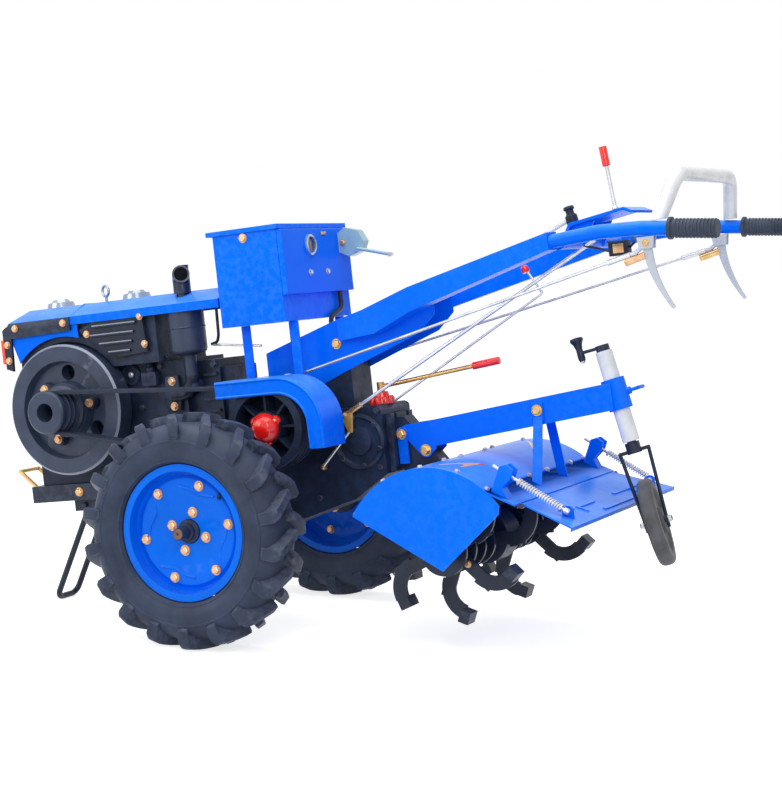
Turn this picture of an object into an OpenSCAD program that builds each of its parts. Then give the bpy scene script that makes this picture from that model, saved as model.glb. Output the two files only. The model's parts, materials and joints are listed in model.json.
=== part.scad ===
// Walking power tiller: two driven wheels, an open single-cylinder engine, handlebars and a rotary tiller.
// Every place is given from the axle centre (x forward, y to the machine's left, z up)
// and the whole machine is then pitched nose-down onto its front stand.

/* [Stance] */
// Nose-down pitch of the parked machine, in degrees
pitch = 7; // [5:0.5:9]
// Distance between the middles of the two tyres
track = 778; // [740:2:820]

/* [Wheels] */
// Outer diameter of a drive tyre over its lugs
tyre_d = 580; // [560:2:600]
// Width of a drive tyre
tyre_w = 140; // [130:2:150]
// Height of a tyre lug
lug_h = 22; // [14:1:28]
// Distance by which a lug trails from the tread's middle to its shoulder
lug_slant = 44; // [30:1:56]
// Lugs on each half of a tyre
lug_n = 18; // [12:1:22]
// Diameter of the wheel rim over its flange
rim_d = 338; // [326:2:346]
// Diameter of the axle shaft's outer end
stub_d = 31; // [26:1:36]
// Reach of the axle end past the tyre's middle
stub_out = 70; // [60:1:90]
// Outer diameter of an axle housing
axle_housing_d = 96; // [84:2:110]

/* [Frame] */
// Front end of the frame rails
frame_front = 690; // [670:2:720]
// Height of the frame rails' upper face above the axle
rail_top = 112; // [104:1:116]
// Height of a frame rail
rail_h = 45; // [38:1:52]
// Half the distance over the frame rails
rail_half = 90; // [84:1:100]
// Width of a rail's flanges
rail_flange = 28; // [22:1:34]
// Diameter of the front stand's rod
stand_rod_d = 16; // [12:1:20]

/* [Engine] */
// Distance of the crankshaft ahead of the axle
crank_x = 509; // [495:1:520]
// Height of the crankshaft above the axle
crank_z = 316; // [306:1:326]
// Diameter of the flywheel
fly_d = 350; // [330:2:360]
// Width of the flywheel rim
fly_w = 58; // [48:1:64]
// Height of the hood's ridge above the axle
hood_top = 592; // [584:1:602]
// Half width of the hood
hood_half = 135; // [128:1:142]
// Diameter of the silencer
silencer_d = 98; // [86:1:104]

/* [Belt drive] */
// Diameter of the engine pulley
pulley_d = 115; // [100:1:125]
// Diameter of the clutch pulley
clutch_d = 210; // [190:1:220]
// Bore of the engine pulley's open end
pulley_bore_d = 50; // [40:1:60]
// Number of belts
belt_n = 3; // [2:1:4]
// Spacing of the belts
belt_pitch = 20; // [18:0.5:22]

/* [Gearbox] */
// Half width of the gearbox casting
gear_half = 85; // [76:1:92]
// Height of the gearbox's top face above the axle
gear_top = 250; // [244:1:256]

/* [Toolbox] */
// Length of the toolbox
box_len = 184; // [170:1:190]
// Half width of the toolbox
box_half = 181; // [170:1:190]
// Height of the toolbox walls
box_h = 240; // [220:1:248]
// Wall thickness of the toolbox
box_wall = 4; // [2:0.5:6]

/* [Handles] */
// Half the distance between the hand grips
grip_half = 295; // [280:1:310]
// Diameter of the handlebar tube
tube_d = 33; // [28:1:36]
// Length of a hand grip
grip_len = 112; // [100:1:130]
// Diameter of a hand grip
grip_d = 44; // [40:1:50]

/* [Tiller] */
// Half width of the tiller cover
cover_half = 340; // [320:2:350]
// Radius of the tiller cover
cover_r = 228; // [222:1:236]
// Clearance between the tips of the tines and the cover
tine_gap = 32; // [26:1:40]
// Tine pairs on each side of the drive case
tine_sets = 4; // [3:1:5]
// Depth of the tiller arm
arm_h = 66; // [56:1:72]
// Width of the tiller arm
arm_w = 66; // [60:1:76]

/* [Tail wheel] */
// Diameter of the tail wheel
tail_d = 214; // [196:2:220]
// Width of the tail wheel
tail_w = 36; // [32:1:44]
// Diameter of the tail fork's wire
fork_d = 9; // [7:0.5:11]
// Diameter of the tail post
post_d = 42; // [36:1:46]
// Turn of the tail wheel away from straight ahead, in degrees
tail_turn = 104; // [98:1:112]

/* [Hidden] */
$fn = 64;
seat = 0.3;
run_gap = 5;
axle_z = tyre_d / 2;
rim_half = tyre_w / 2 - 20;
rim_well = 12;
sheet = 4;

// Frame and front stand
frame_rear = 60;
rail_wall = 6;
rail_bottom = rail_top - rail_h;
stand_pivot = [535, rail_bottom - 15];
stand_foot_x = 680;
stand_foot = [stand_foot_x, -(axle_z - stand_foot_x * sin(pitch) - stand_rod_d / 2) / cos(pitch)];
stand_leg_y = rail_half - rail_flange - stand_rod_d;
stand_pin_d = 14;

// Engine
fly_y0 = 92;
fly_y1 = fly_y0 + fly_w;
pulley_y1 = fly_y1 + 90;
block_half = 75;
head_x0 = 75;
jacket_x0 = 168;
crankcase_x0 = 345;
crankcase_x1 = 660;
jacket_top = 418;
head_half = 52;
tank_x0 = 215;
tank_x1 = 655;
ridge_half = 60;
hood_drop = 30;
hood_lip = 22;
hood_x0 = 8;
hood_x1 = 680;
hood_edge = hood_top - hood_drop;
silencer_at = [146, 77];
silencer_z0 = 433;
silencer_z1 = hood_edge - 4;
exhaust_z = 345;
exhaust_d = 34;
cowl_top = 661;

// Belt drive
clutch_x = -145;
clutch_z = 226;
belt_y0 = fly_y1 + 18;
belt_d = 12;
clutch_y0 = fly_y1 + 3;
clutch_y1 = belt_y0 + belt_n * belt_pitch + 8;
belt_run = norm([crank_x - clutch_x, crank_z - clutch_z]);
belt_tilt = atan2(crank_z - clutch_z, crank_x - clutch_x);
guard_y0 = gear_half + 50;
guard_y1 = clutch_y1 + 10;
guard_r = clutch_d / 2 + 20;
guard_front = clutch_x + 125;
guard_end = clutch_z - 60;
guard_lip = 42;

// Gearbox
gear_front = frame_rear;
gear_rear = -395;
axle_boss_d = 150;
cover_at = [-330, 165];
cover_ring_d = 140;
horn_x0 = -310;
horn_x1 = -218;
horn_top = 385;
horn_half = 55;

// Toolbox
box_front = -24;
box_rear = box_front - box_len;
box_floor = 484;
box_top = box_floor + box_h;
panel_depth = 16;
panel_h = 166;
lid_over = 7;
lid_front = box_front + lid_over + 8;
knuckle_d = 10;
knuckle_len = 44;
knuckle_y = 62;
lid_axis = [lid_front + knuckle_d / 2 - 1, box_top - 2];
leg_y = 122;
leg_t = 6;
leg_w = 25;
leg_at = [box_front - 36, box_rear + 8];
conduit_d = 13;
conduit_r = 20;

// Handles
channel_half = horn_half + seat + sheet;
channel_rear = -560;
bar_from = [-300, channel_half];
bar_turn = 14.2;
bar_w = 38;
bar_len = 672;
tube_at = [-950, 224, 597];
bend_at = [-1080, 262, 604];
wrist_at = [-1190, grip_half - 4, 600];
grip_front = [-1255, grip_half, 592];
grip_slope = 0.122;
grip_dir = [-1, 0, -grip_slope] / norm([1, 0, grip_slope]);
grip_end = grip_front + grip_dir * grip_len;
lever_at = [-1198, 566];
hoop_d = 34;
hoop_foot_x = -1225;
hoop_top = [-1262, 199, 714];
rod_d = 7;
shift_base = [-1034, 0, 664];
shift_top = [-1018, 0, 814];
knob_share = 0.68;
cross_at = [-960, 590];
cross_d = 26;
boot_at = [-361, 0];
boot_h = 31;
boot_top = [boot_at[0], 0, gear_top + boot_h + 2 * seat];
boss_h = 24;
reach_from = boot_top + [0, 0, boss_h / 2];
reach_to = [-694, 0, 331];
reach_share = 0.78;

// Tiller
rotor_at = [-615, -98];
shaft_d = 56;
cover_c = [-608, -120];
cover_front_a = 33;
cover_rear_a = 135;
tine_r = cover_r - tine_gap;
side_bottom = cover_c - [30, 18];
side_rear = cover_point(150, cover_r - 14);
flange_end = cover_point(cover_rear_a) - [66.8, 33.2];
apron_pin = flange_end - [10, 6];
apron_end = apron_pin - [137, 54];
apron_half_front = cover_half - 22;
apron_half_rear = cover_half + 34;
rib_at = 80;
rib_w = 9;
rib_h = 3.5;
pin_d = 10;
case_half = 42;
arm_rear = [apron_end[0] - 2, 252];
arm_lug_half = arm_w / 2 - 5;
arm_pins = [[-423, 171], [-484, 126]];
brace_at = [flange_end[0] + 42, 202];
spring_top = flange_end + [24, 68];
spring_foot = apron_end + [35, 34];
spring_y = cover_half - 34;
spring_slot = 10;

// Tail wheel
post_top = [arm_rear[0] + 19, 328];
post_tilt = 11.8;
sleeve_d = post_d + 16;
post_len = 226;
stem_len = 40;
fork_gap = tail_w / 2 + run_gap;
fork_t = 7;
fork_eye_d = 24;
fork_flare = 9;
crank_reach = 58;
tail_drop = 428;

// Where the middle of the machine's length lies
front_reach = frame_front + 76;
origin_shift = -((front_reach * cos(pitch) + 160 * sin(pitch))
    + (grip_end[0] * cos(pitch) + grip_end[2] * sin(pitch))) / 2;

// The pitched machine on the ground
module machine() translate([origin_shift, 0, axle_z]) rotate([0, pitch, 0]) children();

// A flat outline in x and z, given thickness from y0 to y1
module slab(y0, y1) translate([0, y1, 0]) rotate([90, 0, 0]) linear_extrude(y1 - y0) children();

// A profile of radius and y turned about the y axis through a point
module turned(at, y = 0) translate([at[0], y, at[1]]) rotate([-90, 0, 0]) rotate_extrude($fn = 96) children();

// A round bar along y
module bar_y(at, d, y0, y1) translate([at[0], y0, at[1]]) rotate([-90, 0, 0]) cylinder(d = d, h = y1 - y0);

// A round bar between two points
module rod(p, q, d) {
    v = q - p;
    translate(p) rotate([0, acos(v.z / norm(v)), atan2(v.y, v.x)]) cylinder(d = d, h = norm(v));
}

// A bent round bar through a list of points, with a ball at each bend
module bent(points, d) {
    for (i = [0 : len(points) - 2]) rod(points[i], points[i + 1], d);
    for (i = [1 : len(points) - 2]) translate(points[i]) sphere(d = d + 2 * seat);
}

function unit(v) = v / norm(v);

// Points of a rounded corner at b, between a and c
function corner(a, b, c, r, n) = let (u = unit(a - b), v = unit(c - b), half = acos(u * v) / 2,
    p = b + u * r / tan(half), q = b + v * r / tan(half), m = b + unit(u + v) * r / sin(half))
    [for (i = [0 : n]) m + r * unit(p + (q - p) * i / n - m)];

// A path with its corners rounded
function rounded(points, r, n = 6) = concat([points[0]],
    [for (i = [1 : len(points) - 2]) each corner(points[i - 1], points[i], points[i + 1], r, n)],
    [points[len(points) - 1]]);

// A round tube along a path that never runs along the direction aside
module swept(path, d, aside, n = 20) {
    last = len(path) - 1;
    dirs = [for (i = [0 : last]) unit(path[min(i + 1, last)] - path[max(i - 1, 0)])];
    rings = [for (i = [0 : last]) let (s = unit(cross(dirs[i], aside)), w = cross(s, dirs[i]))
        for (k = [0 : n - 1]) path[i] + d / 2 * (cos(360 * k / n) * s + sin(360 * k / n) * w)];
    walls = [for (i = [0 : last - 1]) for (k = [0 : n - 1])
        [i * n + k, i * n + (k + 1) % n, (i + 1) * n + (k + 1) % n, (i + 1) * n + k]];
    polyhedron(rings, concat(walls, [[for (k = [n - 1 : -1 : 0]) k], [for (k = [0 : n - 1]) last * n + k]]));
}

// The same piece on the left and on the right
module both_sides() {
    children();
    mirror([0, 1, 0]) children();
}

// A plate between two corners
module block(a, b) translate(a) cube(b - a);

// Frame: two channel rails, cross bars and the stand's hinge plates
module rail_section() {
    difference() {
        translate([rail_half - rail_flange, rail_bottom]) square([rail_flange, rail_h]);
        translate([rail_half - rail_flange - 1, rail_bottom + rail_wall])
            square([rail_flange - rail_wall + 1, rail_h - 2 * rail_wall]);
    }
}

module chassis_frame() color("#25272b") machine() {
    both_sides() {
        translate([frame_rear + seat, 0, 0]) rotate([90, 0, 90])
            linear_extrude(frame_front - frame_rear - seat) rail_section();
        slab(rail_half - rail_flange, rail_half - rail_flange + rail_wall) difference() {
            translate([stand_pivot[0] - 35, stand_pivot[1] - 16]) square([70, rail_bottom - stand_pivot[1] + 18]);
            translate(stand_pivot) circle(d = stand_pin_d);
        }
    }
    for (x = [frame_rear + 30, 300, frame_front - 16])
        block([x, -rail_half + rail_wall, rail_bottom], [x + 16, rail_half - rail_wall, rail_top]);
}

// Towing ring, a bent bar standing ahead of the front cross bar
module tow_ring() color("#b79a4a") machine() {
    inner = frame_front + seat;
    outer = frame_front + 68;
    z0 = rail_top - 12;
    rise = 54;
    bent([[inner, -42, z0], [inner + 10, -42, z0], [outer, -42, z0 + rise], [outer, 42, z0 + rise],
        [inner + 10, 42, z0], [inner, 42, z0]], 11);
}

// Engine: crankcase, water jacket, cylinder head, tank and hopper as one casting
module engine_block() color("#2b2d31") machine() {
    difference() {
        union() {
            block([crankcase_x0, -150, rail_top + seat], [crankcase_x1, block_half, 445]);
            block([jacket_x0, -130, 168], [crankcase_x0, block_half, jacket_top]);
            block([head_x0, -115, 192], [jacket_x0, head_half, 408]);
            block([head_x0 - 30, -88, 222], [head_x0 + 1, 40, 386]);
            block([tank_x0, -118, jacket_top - 1], [tank_x1, 118, hood_edge]);
            block([tank_x0, -ridge_half, hood_edge - 1], [tank_x1, ridge_half, hood_top - sheet - seat]);
            block([jacket_x0 + 40, -rail_half, rail_top + seat], [crankcase_x0, rail_half - 16, 170]);
            bar_y([crank_x, crank_z], 64, block_half - 1, fly_y0 - run_gap);
            bar_y([crank_x, crank_z], 190, -176, -149);
            for (z = [238 : 32 : 366]) block([head_x0 + 8, head_half - 1, z], [jacket_x0 - 40, head_half + 7, z + 8]);
        }
        turned([crank_x, crank_z], fly_y0 - run_gap)
            square([fly_d / 2 + run_gap, fly_w + 2 * run_gap]);
    }
}

// Hood: a gabled top sheet with folded edges and a sloped nose
module hood_section(inset) {
    polygon([[-hood_half + inset, hood_edge - hood_lip], [-hood_half + inset, hood_edge - inset / 2],
        [-ridge_half, hood_top - inset], [ridge_half, hood_top - inset],
        [hood_half - inset, hood_edge - inset / 2], [hood_half - inset, hood_edge - hood_lip]]);
}

module engine_hood() color("#0b62f0") machine() {
    nose = 30;
    difference() {
        translate([hood_x0, 0, 0]) rotate([90, 0, 90]) linear_extrude(hood_x1 - hood_x0) difference() {
            hood_section(0);
            translate([0, -0.01]) hood_section(sheet);
        }
        slab(-hood_half - 1, hood_half + 1)
            polygon([[hood_x1 - nose, hood_top + 1], [hood_x1 + 1, hood_top + 1], [hood_x1 + 1, hood_top - 44]]);
        translate([silencer_at[0], silencer_at[1], hood_edge - 60]) cylinder(d = 32, h = 140);
        for (x = [587, 339]) translate([x, 0, hood_top - 40]) cylinder(d = 44, h = 80);
        translate([437, 0, hood_top - 40]) cylinder(d = 9, h = 80);
    }
}

// Side panels of the engine bay with the arch over the flywheel, and a plain one on the other side
module side_outline(arch) {
    difference() {
        polygon([[452, hood_edge - hood_lip - seat], [hood_x1 - 2, hood_edge - hood_lip - seat],
            [648, 446], [600, 400], [330, 400], [330, 442], [452, 520]]);
        translate([crank_x, crank_z]) circle(r = arch);
        translate([300, 380]) square([152, 140]);
    }
}

module side_panels() color("#0a5ae6") machine() {
    slab(hood_half - 2 * sheet, hood_half - sheet) side_outline(fly_d / 2 + 20);
    mirror([0, 1, 0]) slab(hood_half - 2 * sheet, hood_half - sheet) side_outline(fly_d / 2 + 20);
}

// Ribbed grille panels and the black trim of the nose
module grille_outline() {
    polygon([[239, 447], [248, 552], [300, hood_edge - hood_lip - seat], [404, hood_edge - hood_lip - seat],
        [447, 522], [440, 512], [330, 441]]);
}

module grille_panels() color("#1d1e21") machine() both_sides() {
    slab(hood_half - 14, hood_half - sheet) grille_outline();
    slab(hood_half - sheet - 0.5, hood_half + 2) for (i = [0 : 3])
        translate([266 + 8 * i, 524 - 24 * i]) square([136 - 34 * max(0, i - 1), 7]);
    slab(hood_half + seat - sheet, hood_half + 4)
        polygon([[470, hood_edge - hood_lip - seat], [690, hood_edge - hood_lip - seat], [690, 440],
            [668, 432], [664, 520], [470, 526]]);
}

// Corner lamps on the nose
module front_lamps() color("#ff4a12") machine() both_sides()
    block([690 + seat, hood_half - 22, 454], [702, hood_half + 2, 520]);

// Silencer: can with a seam, rain cowl above and elbow into the cylinder head below
module silencer() color("#2a2c30") machine() translate([silencer_at[0], silencer_at[1], 0]) {
    difference() {
        union() {
            rotate_extrude() polygon([[0, silencer_z0 - 8], [exhaust_d / 2, silencer_z0 - 8],
                [silencer_d / 2 - 3, silencer_z0], [silencer_d / 2, silencer_z0 + 8],
                [silencer_d / 2, silencer_z0 + 62], [silencer_d / 2 + 2, silencer_z0 + 65],
                [silencer_d / 2, silencer_z0 + 68], [silencer_d / 2, silencer_z1 - 8],
                [silencer_d / 2 - 6, silencer_z1], [0, silencer_z1]]);
            translate([0, 0, silencer_z1 - 2]) cylinder(d = 26, h = cowl_top - silencer_z1 - 50);
            translate([0, 0, cowl_top - 52]) cylinder(d1 = 34, d2 = 46, h = 52);
            translate([0, 0, exhaust_z]) cylinder(d = exhaust_d, h = silencer_z0 - exhaust_z);
            translate([0, 0, exhaust_z]) sphere(d = exhaust_d);
            translate([0, head_half + seat - silencer_at[1], exhaust_z]) rotate([-90, 0, 0])
                cylinder(d = exhaust_d, h = silencer_at[1] - head_half - seat);
        }
        translate([0, 0, cowl_top - 44]) cylinder(d1 = 26, d2 = 40, h = 46);
        translate([0, 0, cowl_top]) rotate([0, 32, 24]) translate([0, -50, -9]) cube([80, 100, 80]);
    }
}

// Filler caps and lifting eye on the hood
module hood_fittings() color("#c9d2da") machine() {
    for (x = [587, 339]) translate([x, 0, 0]) {
        translate([0, 0, hood_top - sheet]) cylinder(d = 40, h = 16);
        translate([0, 0, hood_top + seat]) cylinder(d1 = 78, d2 = 70, h = 14);
        translate([0, 0, hood_top + 14]) cylinder(d1 = 54, d2 = 40, h = 8);
    }
    translate([437, 0, hood_top - sheet]) cylinder(d = 8, h = 24);
    translate([437, 0, hood_top + 30]) rotate([0, 90, 70]) rotate_extrude() translate([14, 0]) circle(d = 8);
}

// Gearbox casting with the round side covers and the horn that carries the handles
module gear_outline() {
    circle(d = axle_boss_d);
    polygon([[gear_front, 30], [gear_front, 176], [0, gear_top], [-384, gear_top], [gear_rear, gear_top - 12],
        [gear_rear, 78], [-300, 20], [-60, -45], [30, -45]]);
    translate(cover_at) circle(d = cover_ring_d - 10);
}

module gearbox() color("#1f2023") machine() {
    difference() {
        union() {
            slab(-gear_half, gear_half) gear_outline();
            slab(-horn_half, horn_half)
                polygon([[horn_x0, gear_top - 8], [horn_x1, gear_top - 8], [horn_x1, 355], [horn_x0, horn_top]]);
            both_sides() {
                turned(cover_at, gear_half - 1)
                    polygon([[0, 0], [cover_ring_d / 2, 0], [cover_ring_d / 2, 9], [cover_ring_d / 2 - 8, 13],
                        [cover_ring_d / 2 - 14, 7], [38, 7], [34, 14], [20, 16], [0, 16]]);
                bar_y([0, 0], 130, gear_half - 1, gear_half + 14);
            }
            turned([clutch_x, clutch_z], gear_half - 1)
                polygon([[0, 0], [36, 0], [32, 26], [0, 26]]);
            bar_y([clutch_x, clutch_z], 30, gear_half, clutch_y1 - 12);
        }
        bar_y([0, 0], 46, -gear_half - 20, gear_half + 20);
    }
}

// Axle housings between the gearbox and the wheels
module axle_housings() color("#1f2023") machine() both_sides() {
    y0 = gear_half + 14 + seat;
    y1 = track / 2 - 46;
    difference() {
        turned([0, 0]) polygon([[0, y0], [axle_housing_d / 2 + 16, y0], [axle_housing_d / 2 + 16, y0 + 12],
            [axle_housing_d / 2, y0 + 26], [axle_housing_d / 2 - 6, y1 - 24], [axle_housing_d / 2 - 2, y1 - 18],
            [axle_housing_d / 2 - 2, y1], [0, y1]]);
        bar_y([0, 0], 46, y0 - 1, y1 + 1);
    }
}

// Belts: open loops in the grooves of the two pulleys
function belt_loop(grow, n = 20) = let (r1 = pulley_d / 2 - belt_d + grow, r2 = clutch_d / 2 - belt_d + grow,
    a = acos((r1 - r2) / belt_run)) concat(
    [for (i = [0 : n]) [belt_run, 0] + r2 * [cos(a * (2 * i / n - 1)), sin(a * (2 * i / n - 1))]],
    [for (i = [0 : n]) r1 * [cos(a + (360 - 2 * a) * i / n), sin(a + (360 - 2 * a) * i / n)]]);

module belts() color("#17181a") machine()
    for (i = [0 : belt_n - 1]) translate([crank_x, 0, crank_z]) rotate([0, 180 - belt_tilt, 0])
        slab(belt_y0 + i * belt_pitch, belt_y0 + i * belt_pitch + belt_d) difference() {
            polygon(belt_loop(belt_d - 2));
            polygon(belt_loop(1));
        }

// Pulley profile with a groove for each belt
function groove(r, y) = [[r, y - 3], [r - belt_d, y], [r - belt_d, y + belt_d], [r, y + belt_d + 3]];

module flywheel() color("#26282b") machine() {
    r = fly_d / 2;
    difference() {
        turned([crank_x, crank_z]) polygon([[0, fly_y0], [r, fly_y0], [r, fly_y1 - 5], [r - 5, fly_y1],
            [r - 44, fly_y1], [r - 50, fly_y1 - 24], [78, fly_y1 - 24], [72, fly_y1], [0, fly_y1]]);
        for (a = [25 : 120 : 360]) translate([crank_x, 0, crank_z]) rotate([0, a, 0])
            translate([r - 76, fly_y0 - 1, 0]) rotate([-90, 0, 0]) cylinder(d = 42, h = fly_w + 2);
    }
}

// Engine pulley, flanged onto the flywheel
module engine_pulley() color("#26282b") machine() {
    r = pulley_d / 2;
    turned([crank_x, crank_z]) polygon(concat(
        [[pulley_bore_d / 2, fly_y1 + seat], [66, fly_y1 + seat], [66, fly_y1 + 9], [r, fly_y1 + 11]],
        [for (i = [0 : belt_n - 1]) each groove(r, belt_y0 + i * belt_pitch)],
        [[r, pulley_y1 - 5], [r - 5, pulley_y1], [pulley_bore_d / 2, pulley_y1]]));
}

// Clutch pulley with ribs between the hub and the rim
module clutch_pulley() color("#232528") machine() {
    r = clutch_d / 2;
    turned([clutch_x, clutch_z]) polygon(concat(
        [[20, clutch_y0], [r, clutch_y0]],
        [for (i = [0 : belt_n - 1]) each groove(r, belt_y0 + i * belt_pitch)],
        [[r, clutch_y1], [r - 20, clutch_y1], [r - 20, clutch_y0 + 20], [42, clutch_y0 + 20],
        [42, clutch_y1 - 6], [20, clutch_y1 - 6]]));
    for (a = [0 : 45 : 315]) translate([clutch_x, 0, clutch_z]) rotate([0, a, 0])
        block([39, clutch_y0 + 18, -3], [r - 17, clutch_y1 - 14, 3]);
}

module clutch_cap() color("#f2201a") machine()
    turned([clutch_x, clutch_z], clutch_y1 - 6 + seat)
        polygon([[0, 0], [38, 0], [38, 6], [33, 14], [24, 26], [12, 31], [0, 32]]);

// Belt guard: an arched strip with a deep outer lip
module guard_outline(inset) {
    translate([clutch_x - 45, clutch_z]) circle(r = guard_r - inset);
    translate([clutch_x - 45, guard_end - 1])
        square([guard_front - clutch_x + 45, clutch_z + guard_r - inset - guard_end + 1]);
    translate([clutch_x - 45 - guard_r + inset, guard_end - 1]) square([guard_r, clutch_z - guard_end + 1]);
}

module guard_half(inset_out, inset_in) {
    difference() {
        guard_outline(inset_out);
        guard_outline(inset_in);
        translate([clutch_x - 300, guard_end - 200]) square([500, 200]);
    }
}

module belt_guard() color("#0c66f5") machine() {
    slab(guard_y0, guard_y1) guard_half(0, sheet);
    slab(guard_y1 - sheet, guard_y1) guard_half(sheet - 1, guard_lip);
    block([clutch_x + 40, gear_half + seat, gear_top - 40],
        [clutch_x + 68, gear_half + seat + sheet, clutch_z + guard_r]);
    block([clutch_x + 40, gear_half + seat, clutch_z + guard_r - sheet],
        [clutch_x + 68, guard_y0 + 1, clutch_z + guard_r]);
}

// Toolbox: an open box with folded walls, its lid, legs and instrument panel
module toolbox() color("#0a60f2") machine() {
    difference() {
        block([box_rear, -box_half, box_floor], [box_front, box_half, box_top]);
        block([box_rear + box_wall, -box_half + box_wall, box_floor + box_wall],
            [box_front - box_wall, box_half - box_wall, box_top + 1]);
    }
    both_sides() {
        bar_y(lid_axis, knuckle_d, knuckle_y + seat, knuckle_y + knuckle_len);
        slab(knuckle_y + seat, knuckle_y + knuckle_len) polygon([[box_front - 1, box_top - 34],
            [lid_axis[0], box_top - 22], [lid_axis[0] + knuckle_d / 2 - 1, lid_axis[1]], lid_axis,
            [lid_axis[0] - 3, box_top - 15], [box_front - 1, box_top - 18]]);
    }
}

module toolbox_lid() color("#0d68ff") machine() {
    difference() {
        block([box_rear - lid_over, -box_half - lid_over, box_top - 8],
            [lid_front, box_half + lid_over, box_top + sheet]);
        block([box_rear - lid_over + 3, -box_half - lid_over + 3, box_top - 9],
            [lid_front - 3, box_half + lid_over - 3, box_top + seat]);
        both_sides() block([lid_axis[0] - knuckle_d / 2 - 2, knuckle_y - 1, box_top - 9],
            [lid_front + 1, knuckle_y + knuckle_len + 1, box_top + sheet + 1]);
    }
    both_sides() bar_y(lid_axis, knuckle_d, knuckle_y - knuckle_len, knuckle_y - seat);
}

module toolbox_legs() color("#0a5ae0") machine() for (x = leg_at) {
    both_sides() block([x - leg_w / 2, leg_y, gear_top + seat], [x + leg_w / 2, leg_y + leg_t, box_floor - seat]);
    block([x - leg_w / 2, -leg_y - 1, gear_top + seat], [x + leg_w / 2, leg_y + 1, gear_top + seat + leg_t]);
}

module instrument_panel() color("#0a60f2") machine() difference() {
    union() {
        block([box_rear - panel_depth, -box_half, box_top - panel_h - 8], [box_rear - seat, box_half, box_top - 10]);
        translate([box_rear - panel_depth - 4, 42, box_top - 52]) rotate([0, 90, 0]) cylinder(d = 52, h = 8);
    }
    translate([box_rear - panel_depth - 5, 42, box_top - 52]) rotate([0, 90, 0]) cylinder(d = 42, h = 6);
}

// Throttle housing with its arm
module control_box() color("#8fb3c4") machine() {
    face = box_rear - panel_depth - seat;
    slab(-150, -118) polygon([[face, box_top - 74], [face, box_top - 24], [face - 22, box_top - 12],
        [face - 58, box_top - 22], [face - 74, box_top - 52], [face - 62, box_top - 78], [face - 30, box_top - 88]]);
    rod([face - 56, -112, box_top - 70], [face - 56, -124, box_top - 70], 18);
    rod([face - 56, -114, box_top - 70], [face - 150, -114, box_top - 96], 9);
}

// Cable conduit from below the panel to the handle frame
module conduit() color("#191a1c") machine() {
    x = box_rear - panel_depth / 2 - 1;
    top = box_top - panel_h - 8 - seat;
    swept(rounded([[x, -112, top], [x, -112, top - 44], [x, -44, top - 66], [x, -44, frame_ridge(x) + 3]], conduit_r),
        conduit_d, [1, 0, 0], 14);
}

// Handle frame: a tapered pressed channel over the gearbox horn
function frame_ridge(x) = 408 + (-72 - x) * 62 / 197;

module frame_outline() {
    polygon([[-72, 408], [-269, 470], [-430, 510], [channel_rear, 530], [channel_rear, 462], [-514, 420],
        [-295, 341], [-168, 290], [-72, 300]]);
}

module frame_inside() {
    polygon([[-72 - sheet, 404], [-269, 470 - sheet], [-430, 510 - sheet], [channel_rear - 1, 530 - sheet],
        [channel_rear - 1, 400], [-200, 250], [-72 - sheet, 250]]);
}

module handle_frame() color("#0a5fee") machine() difference() {
    slab(-channel_half, channel_half) frame_outline();
    slab(-channel_half + sheet, channel_half - sheet) frame_inside();
}

// Handlebars: tapered beams that grow out of the channel's sides and end in bent tubes
module bar_outline() {
    polygon([[0, 420], [0, 468], [240, 534], [bar_len, 619], [bar_len, 578], [240, 474], [120, 430]]);
}

function tube_z(x) = wrist_at[2] + (x - wrist_at[0]) * (grip_front[2] - wrist_at[2]) / (grip_front[0] - wrist_at[0]);
function bar_inside(x) = bar_from[1] - bar_w / 2 * cos(bar_turn)
    + (bar_from[0] - bar_w / 2 * sin(bar_turn) - x) * tan(bar_turn);

module handlebars() color("#0b63f2") machine() both_sides() {
    difference() {
        translate([bar_from[0], bar_from[1], 0]) rotate([0, 0, 180 - bar_turn])
            slab(-bar_w / 2, bar_w / 2) bar_outline();
        block([-700, -200, 300], [-200, channel_half + seat, 700]);
    }
    swept(rounded([tube_at, bend_at, wrist_at, grip_front, grip_end - grip_dir * 6], 3 * tube_d), tube_d, [0, 0, 1]);
}

module hand_grips() color("#232427") machine() both_sides() difference() {
    union() {
        rod(grip_front, grip_end, grip_d - 4);
        rod(grip_front, grip_front + grip_dir * 8, grip_d + 6);
        for (s = [16 : 8 : grip_len - 6]) rod(grip_front + grip_dir * s, grip_front + grip_dir * (s + 4), grip_d);
    }
    rod(grip_front - grip_dir * 2, grip_end - grip_dir * (6 - seat), tube_d + 2 * seat);
}

// Shift panel on the cross bar between the handlebars
module shift_panel() color("#0b63f2") machine() {
    reach = bar_inside(cross_at[0] + cross_d / 2) - seat;
    slab(-78, 78) polygon([[-925, 612], [-940, 640], [-1080, 662], [-1100, 652], [-1098, 646],
        [-1078, 654], [-945, 633], [-932, 610]]);
    bar_y(cross_at, cross_d, -reach, reach);
    both_sides() slab(60, 66) polygon([[-945, 580], [-975, 580], [-1000, 640], [-945, 634]]);
}

module shift_lever() color("#c3c7cc") machine() {
    rod(shift_base, shift_base + (shift_top - shift_base) * knob_share, 9);
    translate(shift_base) sphere(d = 16);
}

// Red boot and grips of the levers
module lever_knobs() color("#f01f1a") machine() {
    rod(shift_base + (shift_top - shift_base) * (knob_share + 0.003), shift_top, 19);
    translate([boot_at[0], 0, gear_top + seat]) {
        cylinder(d1 = 62, d2 = 56, h = 14);
        translate([0, 0, 13]) cylinder(d1 = 44, d2 = 34, h = boot_h - 13);
    }
    rod(reach_from + (reach_to - reach_from) * (reach_share + 0.002), reach_to, 19);
}

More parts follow.
